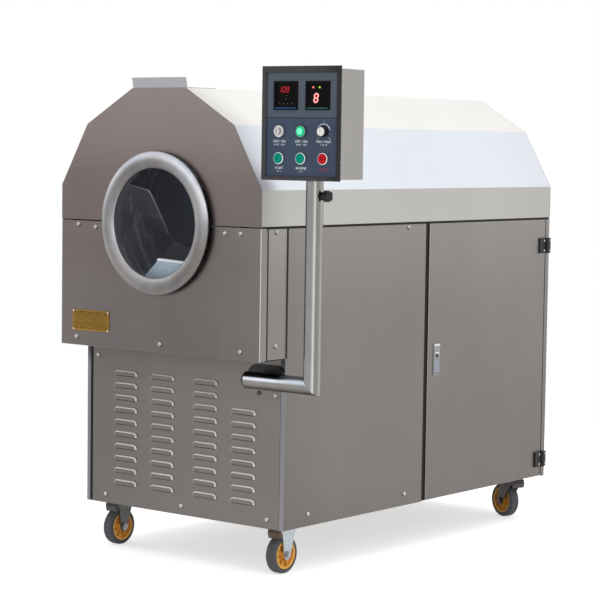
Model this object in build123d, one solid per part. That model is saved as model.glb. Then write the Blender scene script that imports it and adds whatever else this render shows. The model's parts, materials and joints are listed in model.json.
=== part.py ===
from build123d import *
import math
import os

# Rotary drum roaster on casters, with a control box on a swivelling side post.
# Millimetres. X runs across the machine, Y along the drum with the front at -Y, Z up.
# The origin is on the floor under the drum axis, half way along the cabinet.

# Drum and what surrounds it, from the inside out
drum_r = 215.0
drum_wall = 3.0
heater_space = 25.0
insulation = 44.0
jacket_skin = 1.5
jacket_gap = 11.5
tube = 40.0
tube_wall = 2.0
panel_stand = 13.0

# Cabinet, head and cover
cabinet_length = 1250.0
axis_z = 903.0
head_depth = 102.0
head_drop = 337.0
cover_sides = 12
sheet = 1.5
bend_r = 2.0
seam = 6.0
front_seam = 3.0
floor_t = 3.0
head_return = 20.0
head_arm = 30.0
cheek_gap = 9.0
cheek_rear_gap = 2.5
left_panel_gap = 10.0
panel_edge_gap = 1.0
panel_tuck = 6.0
cover_flange = 15.0
flue_w = 150.0
flue_d = 90.0
flue_back = 32.0
flue_rim_w = 8.0
flue_rim_t = 2.0
lip_w = 184.0
lip_h = 27.0
lip_lean = 5.3
lip_foot = 20.0
lip_return = 6.0
plate_w = 136.0
plate_h = 57.0
plate_t = 1.2
plate_x = -239.0
plate_drop = 268.5
rivet_r = 2.2
rivet_inset = 6.0
rivet_proud = 1.0
screw_r = 6.0
screw_h = 3.2
slot_w = 1.2
slot_l = 6.0
screw_edge = 9.0
screw_foot = 32.0
seam_screws = ((-287.0, 12.0), (-223.0, 18.0), (231.0, 18.0), (283.0, 17.0))
head_screws_x = (-292.0, 11.0, 286.0)
head_screw_rise = 22.0
front_screws_x = (-277.0, 1.0, 297.0)
front_screw_rise = 24.0
under_head_screws = ((-308.0, 36.0), (321.0, 94.0), (264.5, 92.0))
cheek_screw_rise = 37.0
cheek_screw_back = 40.8
side_screw_front = 101.0
side_screw_rear = 83.0
rear_screw_inset = 52.5
gland_r = 12.0
gland_bore_r = 6.5
gland_flange_r = 17.0
gland_flange_t = 7.0
gland_proud = 30.0
gland_in = 16.0
gland_round = 2.0
seal_shelf = 27.0
seal_bead = 12.0
seal_back = 4.0

# Door, its seal and the strip behind it
rear_strip = 20.0
hinge_gap = 3.0
door_width = 598.5
seal_gap = 18.2
door_return = 10.0
door_play = 2.0
hinge_h = 45.0
hinge_t = 5.0
hinge_pin_r = 2.5
hinge_stand = 7.0
hinge_reach = 36.0
hinge_top = 78.0
hinge_foot = 53.5
knuckle_r = 6.5
lock_back = 40.5
lock_w = 28.5
lock_h = 88.0
lock_proud = 3.0
lock_rise = 7.5
lock_button_r = 5.5
lock_button_travel = 2.5
lock_bore = 8.0
handle_h = 38.0
handle_w = 21.0
handle_t = 4.8
handle_room = 0.4
handle_pin_r = 2.2
handle_foot = 7.0
lock_round = 1.5
lock_neck_y = 1.8
lock_neck_z = 2.5
lock_neck_in = 20.0
lock_button_rise = 10.5
lock_button_proud = 1.5
knuckle_room = 0.6

# Louvres
louvre_w = 81.0
louvre_h = 13.5
louvre_proud = 6.0
louvre_corner = 11.0
louvre_soft = 4.0
louvre_pitch = 33.3
louvre_foot = 63.5
louvre_head = 75.0
louvre_columns = (-203.5, -69.5, 82.5, 214.0)
short_column_less = 2
rear_louvre_columns = (-120.0, 0.0, 120.0)
rear_louvre_rows = 6

# Drum mouth, neck and flights
ring_r = 164.5
ring_half_w = 22.5
ring_half_t = 9.0
ring_wall = 3.0
ring_slot = 10.0
ring_forward = 14.0
mouth_lap = 3.5
neck_inset = 1.5
neck_back = 27.0
cone_length = 55.0
drum_rear_space = 195.0
flight_count = 3
flight_rows = 2
flight_row_gap = 15.0
flight_h = 86.0
flight_t = 4.0
flight_angle = 169.5
flight_run = 102.0
flight_sweep = 120.0
flight_corner = 14.0
flight_cone_gap = 7.0
blade_t = 2.5
blade_y_back = 22.0
blade_left = 66.0
blade_bend_left = 62.0
blade_bend_drop = 138.0
blade_top_left = 19.0
blade_top_right = 104.0
blade_right = 130.0
blade_top_drop = 92.0
blade_top_fall = 6.0
blade_roll_r = 7.0

# Drum supports and drive
track_h = 15.0
track_w = 30.0
track_back = 125.0
roller_r = 35.0
roller_angle = 38.0
roller_pin_r = 8.0
roller_pin_over = 4.0
bracket_h = 54.0
bracket_t = 6.0
bracket_foot_half = 34.0
bracket_low_half = 30.0
bracket_top_half = 14.0
bracket_side_gap = 1.0
shaft_r = 25.0
hub_r = 80.0
hub_t = 12.0
bearing_h = 51.0
bearing_w = 30.0
bearing_r = 47.5
bearing_neck_half = 40.0
bearing_foot_half = 75.0
bearing_foot_h = 18.0
chain_pitch = 15.875
chain_roller_r = 5.08
chain_plate_t = 1.5
chain_plate_half = 6.0
tooth_w = 7.0
drum_teeth = 36
motor_teeth = 15
motor_axis_z = 250.0
motor_shaft_r = 14.0
motor_shaft_in = 20.0
motor_bore_in = 24.0
motor_key = 1.0
motor_behind_chain = 18.0
motor_r = 68.0
motor_length = 220.0
motor_fin_h = 6.0
motor_fin_t = 4.0
motor_fin_pitch = 14.0
motor_fin_count = 11
motor_fin_start = 40.0
fan_cover_l = 34.0
fan_cover_over = 2.0
motor_foot_half = 54.4
motor_foot_y = (60.0, 120.0)
motor_foot_sunk = 20.0
terminal_half = 40.0
terminal_y = (60.0, 150.0)
terminal_h = 25.0
gearbox_size = (140.0, 90.0, 192.0)
gearbox_round = 14.0
heater_r = 6.0
heater_count = 8
heater_first = 200.0
heater_spread = 140.0
jacket_rear_gap = 10.0
jacket_end_t = 3.0
jacket_end_gap = 5.0
lug_shares = (0.15, 0.5, 0.85)
lug_half = 25.0
lug_t = 4.0
lug_on_rail = 9.0
lug_sunk = 0.8
module_left_gap = 40.0
module_right = -20.0
module_front_gap = 15.0
module_depth = 190.0
module_h = 230.0
module_fin_count = 13
module_fin_pitch = 16.0
module_fin_t = 3.0
module_fin_h = 12.0
module_fin_inset = 10.0
module_fin_end = 15.0
module_lid = 4.0

# Control arm and box
arm_r = 22.0
arm_wall = 2.0
arm_forward = 50.0
arm_drop = 53.0
arm_reach = 126.6
arm_tail = 81.0
stub_r = 12.0
stub_in = 80.0
stub_clear = 3.0
stub_plate_half = 34.0
stub_plate_t = 6.0
flange_w = 120.0
flange_h = 58.0
flange_t = 7.0
flange_shift = (9.0, 7.0)
end_cap_t = 7.0
end_cap_round = 4.0
end_plug = 14.0
box_rise = 121.3
box_lift = 0.5
box_turn = 5.3
box_w = 229.0
box_h = 279.0
box_d = 117.0
box_front = 69.5
box_frame_side = 12.0
box_frame_top = 16.0
box_frame_foot = 10.0
box_frame_t = 6.0
box_frame_bevel = 2.5
box_side_inset = 4.5
box_head_inset = 7.0
box_foot_inset = 4.0
fascia_t = 3.0
spigot_in = 70.0
knob_drop = 38.0
knob_stem_r = 4.0
knob_flange_r = 10.0
knob_flange_t = 3.0
knob_neck_r = 8.5
knob_neck_l = 8.0
knob_head_r = 14.0
knob_head_l = 13.0
knob_dents = 5
meter_size = 70.0
meter_body = 66.0
meter_proud = 3.5
meter_depth = 70.0
meter_round = 1.0
meter_recess = 2.0
meter_glass_half = 28.0
meter_glass_low = 26.0
meter_glass_high = 28.0
meter_u = 46.5
meter_v = 207.0
column_u = 64.5
upper_row_v = 120.0
lower_row_v = 54.0
bezel_r = 15.0
power_bezel_r = 13.2
bezel_proud = 6.0
bezel_round = 2.5
barrel_r = 11.0
barrel_wall = 0.5
barrel_length = 45.0
switch_bore = 16.0
contact_start = 12.0
contact_half = (14.0, 20.0)
button_r = 10.4
button_proud = 3.0
button_travel = 4.0
cap_round = 1.5
stem_gap = 1.0
key_core_r = 8.0
key_proud = 8.0
key_slot = (1.0, 6.0, 5.0)
knob_r = 12.5
knob_proud = 8.0
knob_ribs = 24
rib_size = 1.0
rib_end = 2.0
mark_half = 0.8
mark_start = 3.0

# Casters
caster_head = 25.0
wheel_r = 50.0
tyre_w = 30.0
core_r = 38.0
tyre_round = 7.0
hub_w = 34.0
hub_end_r = 13.2
rim_t = 6.0
rim_inset = 1.0
web_t = 12.0
axle_r = 6.0
axle_over = 9.0
nut_r = 9.6
nut_over = 7.0
leg_t = 3.0
leg_gap = 0.5
leg_end_r = 13.2
leg_front = 22.0
leg_rear = 26.0
leg_shoulder = 31.0
leg_shoulder_drop = 12.0
crown_front = 29.0
crown_nose = 4.0
crown_skirt = 9.5
crown_clear = 3.0
plate_half_x = 29.0
plate_half_y = 32.0
plate_round = 8.0
caster_inset_x = 59.0
front_inset_y = 68.0
rear_inset_y = 83.0
trail = 32.0
rear_caster_turn = 72.0
kingpin_r = 8.0
kingpin_head_r = 11.2
kingpin_head_t = 3.0
race_r = 24.0
race_t = 4.0
crown_disc_r = 28.8
crown_disc_t = 6.0

# Clearances
run_gap = 0.05
seat_gap = 0.02
slip_gap = 0.3

# Levels and planes that follow from the sizes above
caster_h = 2 * wheel_r + caster_head
jacket_r = drum_r + heater_space + insulation + jacket_skin
post_in = jacket_r + jacket_gap
post_out = post_in + tube
half_w = post_out + panel_stand
front_y = -cabinet_length / 2
rear_y = cabinet_length / 2
head_y = front_y - head_depth
frame_front = front_y + sheet
frame_rear = rear_y - sheet
head_bottom = axis_z - head_drop
split_low = axis_z - seam / 2
split_high = axis_z + seam / 2
pan_top = caster_h + floor_t
strip_y = rear_y - rear_strip
door_rear = strip_y - hinge_gap
door_front = door_rear - door_width
side_end = door_front - seal_gap
jamb_y = side_end - door_play
track_r = drum_r + track_h
track_y = front_y + track_back
roller_reach = track_r + roller_r + slip_gap
roller_x = roller_reach * math.sin(math.radians(roller_angle))
roller_z = axis_z - roller_reach * math.cos(math.radians(roller_angle))
beam_top = roller_z - bracket_h
rear_beam_top = axis_z - bearing_h
rear_beam_y = (frame_rear - 2 * tube, frame_rear - tube)
chain_y = frame_rear - 0.7 * tube
drum_rear = rear_y - drum_rear_space
ring_y = head_y - ring_forward
neck_r = ring_r - neck_inset
mouth_r = ring_r + ring_half_w - mouth_lap
neck_end = head_y + neck_back
cone_end = neck_end + cone_length
drum_in_r = drum_r - drum_wall
arm_y = front_y - arm_forward
arm_z = head_bottom - arm_drop
post_x = half_w + arm_reach
arm_left = half_w - arm_tail
box_z = axis_z + box_rise
knob_z = box_z - knob_drop
stub_x = post_in - stub_r - stub_clear
gland_x = -post_in + 2.5 * gland_flange_r
gland_z = pan_top + 2 * tube
hinge_x = half_w + hinge_stand
hinge_y = strip_y - hinge_gap / 3
hinge_levels = (split_low - hinge_top, caster_h + hinge_foot)
lock_y = door_front + lock_back
lock_z = (caster_h + split_low) / 2 + lock_rise
fascia_y = -box_front + box_frame_t
switch_places = {
    "key": (-column_u, upper_row_v),
    "heat": (0, upper_row_v),
    "power": (column_u, upper_row_v),
    "start": (-column_u, lower_row_v),
    "reverse": (0, lower_row_v),
    "stop": (column_u, lower_row_v),
}
caster_x = half_w - caster_inset_x
front_caster_y = front_inset_y - cabinet_length / 2
rear_caster_y = cabinet_length / 2 - rear_inset_y


def block(x, y, z):
    """A box between (low, high) pairs on each axis."""
    spans = (x, y, z)
    middle = [(low + high) / 2 for low, high in spans]
    return Pos(*middle) * Box(*[high - low for low, high in spans])


def rod_x(x, y, z, radius):
    return Pos((x[0] + x[1]) / 2, y, z) * Rot(0, 90, 0) * Cylinder(radius, x[1] - x[0])


def rod_y(x, y, z, radius):
    return Pos(x, (y[0] + y[1]) / 2, z) * Rot(-90, 0, 0) * Cylinder(radius, y[1] - y[0])


def rod_z(x, y, z, radius):
    return Pos(x, y, (z[0] + z[1]) / 2) * Cylinder(radius, z[1] - z[0])


def ring_y_axis(x, y, z, outer, inner):
    return rod_y(x, y, z, outer) - rod_y(x, y, z, inner)


def prism_x(outline, x):
    """A prism along X with an outline of (y, z) points."""
    return Pos(x[0], 0, 0) * extrude(Plane.YZ * Polygon(*outline, align=None), x[1] - x[0], dir=(1, 0, 0))


def prism_y(outline, y):
    """A prism along Y with an outline of (x, z) points."""
    return Pos(0, y[0], 0) * extrude(Plane.XZ * Polygon(*outline, align=None), y[1] - y[0], dir=(0, 1, 0))


def both_sides(solid):
    return [solid, mirror(solid, about=Plane.YZ)]


def square_tube(x, y, z):
    """A hollow square tube, open at the ends of its longest side."""
    spans = [x, y, z]
    lengths = [high - low for low, high in spans]
    along = lengths.index(max(lengths))
    inner = [(low + tube_wall, high - tube_wall) for low, high in spans]
    inner[along] = (spans[along][0] - 1, spans[along][1] + 1)
    return block(*spans) - block(*inner)


def soften(solid, radius, axis, where):
    """Rounds the edges along an axis whose centres pass the test."""
    edges = [edge for edge in solid.edges().filter_by(axis) if where(edge.center())]
    return fillet(edges, radius)


def save(name, *pieces):
    solids = [solid for piece in pieces for solid in piece.solids()]
    export_step(Compound(solids), f"parts/{name}.step")


# Frame of square tubes, each tube a solid of its own
def make_frame():
    side = (post_in, post_out)
    low_z = (pan_top, pan_top + tube)
    top_z = (split_low - tube, split_low)
    upright = (pan_top + tube, split_low - tube)
    front_post = (frame_front, frame_front + tube)
    middle_post = (jamb_y - tube, jamb_y)
    rear_post = (frame_rear - tube, frame_rear)
    one_side = [
        square_tube(side, (frame_front, frame_rear), low_z),
        square_tube(side, (frame_front, frame_rear), top_z),
        square_tube(side, front_post, upright),
        square_tube(side, middle_post, upright),
        square_tube(side, rear_post, upright),
        square_tube(side, (front_post[1], middle_post[0]), (beam_top - tube, beam_top)),
    ]
    arm_x = (post_out - head_arm, post_out)
    arm_span = (head_y + sheet, frame_front)
    for arm_low in (head_bottom + head_arm / 2, split_low - tube - head_arm):
        one_side.append(square_tube(arm_x, arm_span, (arm_low, arm_low + head_arm)))
    across = (-post_in, post_in)
    cross = [
        square_tube(across, front_post, low_z),
        square_tube(across, rear_post, low_z),
        square_tube(across, (track_y - tube / 2, track_y + tube / 2), (beam_top - tube, beam_top)),
        square_tube((-post_out, post_out), rear_beam_y, (rear_beam_top - tube, rear_beam_top)),
    ]
    mirrored = [piece for solid in one_side for piece in both_sides(solid)]
    save("frame", *mirrored, *cross)
    save("floor_pan", block((-post_out, post_out), (frame_front, frame_rear), (caster_h, pan_top)))


# One pressed louvre on the plane y = 0, facing -Y, open at its lower edge
def louvre_form(width, height, proud, corner, soft):
    face = Rectangle(width, height)
    upper = face.vertices().group_by(Axis.Y)[-1]
    face = fillet(upper, corner)
    hood = extrude(Plane.XZ * face, proud)
    lip = [edge for edge in hood.faces().sort_by(Axis.Y)[0].edges() if edge.center().Z > 0.01 - height / 2]
    return fillet(lip, soft)


def add_louvres(panel, places):
    hood = louvre_form(louvre_w, louvre_h, louvre_proud, louvre_corner, louvre_soft)
    inner_w = louvre_w - 2 * sheet
    inner_h = louvre_h - sheet + 0.5
    hollow = louvre_form(inner_w, inner_h, louvre_proud - sheet, louvre_corner - sheet, louvre_soft - sheet)
    passage = extrude(Plane.XZ * Rectangle(inner_w - 2 * louvre_corner, inner_h), -2 * sheet)
    drop = Pos(0, 0, -(sheet + 0.5) / 2)
    panel = panel + [place * hood for place in places]
    return panel - [place * drop * hollow for place in places] - [place * drop * passage for place in places]


def make_front_louvre_panel():
    top = head_bottom + panel_tuck
    right = post_out - panel_edge_gap
    panel = block((-post_out + left_panel_gap, right), (front_y, frame_front), (caster_h + sheet, top))
    rows = 1 + int((head_bottom - caster_h - louvre_foot - louvre_head) / louvre_pitch)
    places = []
    for column, x in enumerate(louvre_columns):
        short = short_column_less if column == len(louvre_columns) - 1 else 0
        for row in range(rows - short):
            places.append(Pos(x, front_y, caster_h + louvre_foot + row * louvre_pitch))
    panel = add_louvres(panel, places)
    panel = panel - rod_y(stub_x, (front_y - 1, frame_front + 1), arm_z, stub_r + 1)
    save("front_louvre_panel", panel)


# Folded side panels, rear panel and cheeks
def folded_side(y, z, depth):
    """A panel on the +X side with its four edges folded inwards."""
    panel = block((half_w - depth, half_w), y, z)
    panel = panel - block(
        (half_w - depth, half_w - sheet),
        (y[0] + sheet, y[1] - sheet),
        (z[0] + sheet, z[1] - sheet),
    )
    outer = panel.faces().sort_by(Axis.X)[-1].edges()
    return fillet(outer, bend_r)


def make_side_panels():
    z = (caster_h, split_low)
    save("right_side_panel", folded_side((front_y, side_end), z, panel_stand))
    save("left_side_panel", mirror(folded_side((front_y, strip_y), z, panel_stand), about=Plane.YZ))
    cheek_y = (head_y + head_return + cheek_gap, front_y - cheek_rear_gap)
    cheek = folded_side(cheek_y, (head_bottom + 2 * sheet, split_low), panel_stand)
    save("head_cheeks", *both_sides(cheek))


def make_rear_panel():
    panel = block((-half_w, half_w), (strip_y, rear_y), (caster_h, split_low))
    inner_x = (-half_w + sheet, half_w - sheet)
    panel = panel - block(inner_x, (strip_y - 1, frame_rear), (caster_h - 1, split_low + 1))
    panel = soften(panel, bend_r, Axis.Z, lambda c: abs(c.X) > half_w - 0.1 and c.Y > rear_y - 0.1)
    turn = Rot(0, 0, 180)
    places = []
    for x in rear_louvre_columns:
        for row in range(rear_louvre_rows):
            places.append(Pos(x, rear_y, head_bottom - row * louvre_pitch) * turn)
    panel = add_louvres(panel, places)
    panel = panel - rod_y(gland_x, (frame_rear - 1, rear_y + 1), gland_z, gland_r + slip_gap)
    save("rear_panel", panel)


def make_cable_gland():
    x = gland_x
    z = gland_z
    gland = rod_y(x, (frame_rear - gland_in, rear_y + gland_proud), z, gland_r)
    nut = extrude(Plane.XZ * RegularPolygon(gland_flange_r, 6), gland_flange_t)
    gland = gland + Pos(x, rear_y + gland_flange_t, z) * nut
    gland = gland - rod_y(x, (frame_rear - gland_in - 1, rear_y + gland_proud + 1), z, gland_bore_r)
    rim = [e for e in gland.edges().filter_by(GeomType.CIRCLE) if e.center().Y > rear_y + gland_proud - 0.1]
    save("cable_gland", fillet(rim, gland_round))


# Head lower panel and the two end plates with the halves of the mouth hole
def make_head_panel():
    z = (head_bottom, axis_z - front_seam / 2)
    panel = block((-half_w, half_w), (head_y, front_y - cheek_rear_gap), z)
    inner_x = (-half_w + sheet, half_w - sheet)
    panel = panel - block(inner_x, (head_y + sheet, front_y), (head_bottom + sheet, axis_z))
    for side in (-1, 1):
        x = sorted((side * (half_w - sheet - 1), side * (half_w + 1)))
        panel = panel - block(x, (head_y + head_return, front_y), (head_bottom + sheet, axis_z))
    panel = panel - rod_y(0, (head_y - 1, head_y + 2), axis_z, mouth_r)
    panel = soften(panel, bend_r, Axis.Z, lambda c: abs(c.X) > half_w - 0.1 and c.Y < head_y + 0.1)
    panel = soften(panel, bend_r, Axis.X, lambda c: c.Y < head_y + 0.1 and c.Z < head_bottom + 0.1)
    save("head_lower_panel", panel)


def cover_outline(apothem, low):
    """The upper half of a regular polygon about the drum axis, cut off at the height low."""
    corner = apothem / math.cos(math.pi / cover_sides)
    turns = [math.pi / cover_sides * (2 * k + 1) for k in range(cover_sides // 2)]
    upper = [(corner * math.cos(t), axis_z + corner * math.sin(t)) for t in turns]
    return [(apothem, low), *upper, (-apothem, low)]


def make_top_cover():
    y = (head_y + sheet, rear_y - sheet)
    cover = prism_y(cover_outline(half_w, split_high), y)
    cover = cover - prism_y(cover_outline(half_w - sheet, split_high - 1), (y[0] - 1, y[1] + 1))
    corner = half_w / math.cos(math.pi / cover_sides)
    cover = soften(cover, bend_r, Axis.Y, lambda c: math.hypot(c.X, c.Z - axis_z) > corner - 0.1)
    flange = block((half_w - cover_flange, half_w - sheet), y, (split_high, split_high + sheet))
    flue_y = head_y + flue_back + flue_d / 2
    flue_top = axis_z + half_w
    hole = Pos(0, flue_y, flue_top) * Box(flue_w, flue_d, 10 * sheet)
    rim = Pos(0, flue_y, flue_top + flue_rim_t / 2)
    rim = rim * Box(flue_w + 2 * flue_rim_w, flue_d + 2 * flue_rim_w, flue_rim_t)
    save("top_cover", cover + both_sides(flange) + rim - hole)
    plate = prism_y(cover_outline(half_w, axis_z + front_seam / 2), (head_y, head_y + sheet))
    save("top_front_plate", plate - rod_y(0, (head_y - 1, head_y + 2), axis_z, mouth_r))
    save("top_rear_plate", prism_y(cover_outline(half_w, split_high), (rear_y - sheet, rear_y)))


# A lip leaning forward in front of the flue opening, folded from one sheet
def make_flue_lip():
    y = head_y + sheet
    z = axis_z + half_w
    top = z + lip_h
    half = lip_w / 2
    web = [(y, z), (y + sheet, z), (y + sheet - lip_lean, top), (y - lip_lean, top)]
    end = [(y, z), (y + lip_return, z), (y + lip_return - lip_lean, top), (y - lip_lean, top)]
    lip = prism_x(web, (-half, half)) + block((-half, half), (y, y + lip_foot), (z, z + sheet))
    save("flue_lip", lip + both_sides(prism_x(end, (half - sheet, half))))


# Black rubber in the seams
def make_seals():
    shelf = post_out - seal_shelf
    edge = half_w - sheet
    y = (head_y + sheet, rear_y - sheet)
    z = (split_low, split_high)
    cross = block((-shelf, shelf), (frame_rear - seal_bead, frame_rear), z)
    door_z = (pan_top + tube, split_low - tube)
    bead_end = door_front - panel_edge_gap
    inner = block((post_out - seal_bead, post_out), (jamb_y, bead_end), door_z)
    outer_z = (caster_h + sheet, split_low - sheet)
    outer = block((post_out, half_w - seal_back), (side_end + slip_gap, bead_end), outer_z)
    save("rubber_seals", *both_sides(block((shelf, edge), y, z)), cross, inner + outer)


# Bare plate with four rivets on the head
def make_nameplate():
    z = axis_z - plate_drop
    y = (head_y - plate_t, head_y)
    plate = block((plate_x - plate_w / 2, plate_x + plate_w / 2), y, (z - plate_h / 2, z + plate_h / 2))
    rivets = []
    for u in (-1, 1):
        for v in (-1, 1):
            x = plate_x + u * (plate_w / 2 - rivet_inset)
            level = z + v * (plate_h / 2 - rivet_inset)
            rivets.append(rod_y(x, (y[0] - rivet_proud, y[1]), level, rivet_r))
    save("nameplate", plate + rivets)


# Pan-head screws with a cross recess
def make_screws():
    head = Cylinder(screw_r, screw_h, align=(Align.CENTER, Align.CENTER, Align.MIN))
    head = fillet(head.edges().sort_by(Axis.Z)[-1], 0.6 * screw_h)
    for size in ((slot_w, slot_l, slot_w), (slot_l, slot_w, slot_w)):
        head = head - Pos(0, 0, screw_h) * Box(*size)
    front = Rot(90, 0, 0)
    right = Rot(0, 90, 0)
    left = Rot(0, -90, 0)
    rear = Rot(-90, 0, 0)
    top = split_low - screw_edge
    foot = caster_h + screw_foot
    rear_x = half_w - rear_screw_inset
    places = []
    for x, drop in seam_screws:
        places.append(Pos(x, head_y, axis_z - drop) * front)
    for x in head_screws_x:
        places.append(Pos(x, head_y, head_bottom + head_screw_rise) * front)
    for x in front_screws_x:
        places.append(Pos(x, front_y, caster_h + front_screw_rise) * front)
    for x, drop in under_head_screws:
        places.append(Pos(x, front_y, head_bottom - drop) * front)
    for z in (top, head_bottom + cheek_screw_rise):
        cheek_y = front_y - cheek_screw_back
        places.append(Pos(half_w, cheek_y, z) * right)
        places.append(Pos(-half_w, cheek_y, z) * left)
    for z in (top, foot):
        for y in (front_y + side_screw_front, side_end - side_screw_rear):
            places.append(Pos(half_w, y, z) * right)
            places.append(Pos(-half_w, y, z) * left)
        places.append(Pos(-half_w, strip_y - side_screw_rear, z) * left)
        for x in (-rear_x, 0, rear_x):
            places.append(Pos(x, rear_y, z) * rear)
    save("panel_screws", *[place * head for place in places])


# Drum: shell, rolled ring, flights, discharge blade, shaft and sprocket
def drum_form(inset):
    """The drum as a solid of revolution, inset from its outside by a wall."""
    neck = rod_y(0, (ring_y, neck_end + 1), axis_z, neck_r - inset)
    cone = Cone(neck_r - inset, drum_r - inset, cone_length)
    cone = Pos(0, (neck_end + cone_end) / 2, axis_z) * Rot(-90, 0, 0) * cone
    return neck + cone + rod_y(0, (cone_end, drum_rear - inset), axis_z, drum_r - inset)


def mouth_form(inset):
    """The flattened rolled ring as a solid of revolution, inset from its outside by a wall."""
    section = Pos(ring_r, 0) * Ellipse(ring_half_w - inset, ring_half_t - inset)
    return Pos(0, ring_y, axis_z) * revolve(section, Axis.Y)


def make_drum():
    shell = drum_form(0) - drum_form(drum_wall) - rod_y(0, (ring_y - 1, ring_y), axis_z, neck_r)
    track = ring_y_axis(0, (track_y - track_w / 2, track_y + track_w / 2), axis_z, track_r, drum_r - 1)
    save("drum_shell", shell + track - mouth_form(0))
    slot_y = (ring_y, ring_y + ring_half_t + 1)
    slot_r = ring_r + ring_half_w / 2
    slot = ring_y_axis(0, slot_y, axis_z, slot_r + ring_slot / 2, slot_r - ring_slot / 2)
    save("mouth_ring", mouth_form(0) - mouth_form(ring_wall) - slot)


def flat_flight(angle, y):
    """One flat flight standing aslant on the drum wall, its middle at an angle about the axis."""
    slant = math.degrees(math.atan2(flight_sweep, flight_run))
    half = math.hypot(flight_sweep, flight_run) / 2
    plate = block((drum_in_r - flight_h, drum_r), (-half, half), (-flight_t / 2, flight_t / 2))
    inner_corners = plate.edges().filter_by(Axis.Z).sort_by(Axis.X)[:2]
    plate = fillet(inner_corners.sort_by(Axis.Y)[0], flight_corner)
    plate = Pos(0, y, axis_z) * Rot(0, -angle, 0) * Rot(slant, 0, 0) * plate
    return plate & rod_y(0, (y - half, y + half), axis_z, drum_in_r - slip_gap)


def make_flights():
    """Rows of short flights, each row turned half a space on from the one before."""
    pieces = []
    for row in range(flight_rows):
        middle = cone_end + flight_cone_gap + flight_run / 2 + row * (flight_run + flight_row_gap)
        for flight in range(flight_count):
            angle = flight_angle + (flight + row / 2) * 360 / flight_count
            pieces.append(flat_flight(angle, middle))
    save("drum_flights", *pieces)


def make_discharge_blade():
    """A bright plate in the neck, rising from the lower wall to a rolled edge."""
    y = (head_y + blade_y_back, head_y + blade_y_back + blade_t)
    low = axis_z - neck_r
    top = axis_z - blade_top_drop - blade_roll_r
    left = [(-blade_left, low), (-blade_bend_left, axis_z - blade_bend_drop), (-blade_top_left, top)]
    right = [(blade_top_right, top - blade_top_fall), (blade_right, low)]
    plate = prism_y([*left, *right], y)
    run = blade_top_left + blade_top_right
    fall = math.degrees(math.atan2(blade_top_fall, run))
    bar = Cylinder(blade_roll_r, run, align=(Align.CENTER, Align.CENTER, Align.MIN))
    edge = Sphere(blade_roll_r) + Rot(0, 90 + fall, 0) * bar
    roll = Pos(-blade_top_left, y[0] + blade_roll_r, top) * edge
    inside_y = (y[0] - 1, y[0] + 2 * blade_roll_r + 1)
    inside = rod_y(0, inside_y, axis_z, neck_r - drum_wall - slip_gap)
    save("discharge_blade", (plate + roll) & inside)


def sprocket(teeth, x, z, bore_r):
    """A plate sprocket in the chain plane, notched by the chain's rollers."""
    pitch_r = chain_pitch / (2 * math.sin(math.pi / teeth))
    wheel = Cylinder(pitch_r + 0.35 * chain_roller_r, tooth_w)
    wheel = wheel - [loc * Cylinder(chain_roller_r, 2 * tooth_w) for loc in PolarLocations(pitch_r, teeth)]
    wheel = wheel - Cylinder(bore_r, 2 * tooth_w)
    return Pos(x, chain_y, z) * Rot(90, 0, 0) * wheel


def make_drum_drive():
    hub = rod_y(0, (drum_rear, drum_rear + hub_t), axis_z, hub_r)
    shaft = rod_y(0, (drum_rear, chain_y + 2 * tooth_w), axis_z, shaft_r)
    save("drum_shaft", hub + shaft)
    save("drum_sprocket", sprocket(drum_teeth, 0, axis_z, shaft_r + seat_gap))
    foot_z = (rear_beam_top, rear_beam_top + bearing_foot_h)
    body = block((-bearing_foot_half, bearing_foot_half), rear_beam_y, foot_z)
    middle = sum(rear_beam_y) / 2
    span = (middle - bearing_w / 2, middle + bearing_w / 2)
    body = body + rod_y(0, span, axis_z, bearing_r)
    body = body + block((-bearing_neck_half, bearing_neck_half), span, (rear_beam_top, axis_z))
    through = (rear_beam_y[0] - 1, rear_beam_y[1] + 1)
    save("rear_bearing", body - rod_y(0, through, axis_z, shaft_r + run_gap))


def make_motor():
    width, depth, height = gearbox_size
    rear = chain_y - 2.5 * tooth_w - motor_behind_chain
    front = rear - depth
    box = block((-width / 2, width / 2), (front, rear), (pan_top, pan_top + height))
    box = soften(box, gearbox_round, Axis.Y, lambda c: c.Z > pan_top + 1)
    end = front - motor_length
    motor = rod_y(0, (end, front + 1), motor_axis_z, motor_r - motor_fin_h)
    fin_starts = [end + motor_fin_start + motor_fin_pitch * k for k in range(motor_fin_count)]
    fins = [rod_y(0, (start, start + motor_fin_t), motor_axis_z, motor_r) for start in fin_starts]
    fan_cover = rod_y(0, (end, end + fan_cover_l), motor_axis_z, motor_r + fan_cover_over)
    foot_y = [end + at for at in motor_foot_y]
    foot = block((-motor_foot_half, motor_foot_half), foot_y, (pan_top, motor_axis_z - motor_foot_sunk))
    box_y = [end + at for at in terminal_y]
    box_z_span = (motor_axis_z, motor_axis_z + motor_r + terminal_h)
    terminal = block((-terminal_half, terminal_half), box_y, box_z_span)
    bore = rod_y(0, (rear - motor_bore_in, rear + 1), motor_axis_z, motor_shaft_r + run_gap)
    save("gear_motor", box + motor + fins + fan_cover + foot + terminal - bore)
    shaft = rod_y(0, (rear - motor_shaft_in, chain_y + tooth_w), motor_axis_z, motor_shaft_r)
    save("motor_sprocket", sprocket(motor_teeth, 0, motor_axis_z, motor_shaft_r - motor_key) + shaft)


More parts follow.
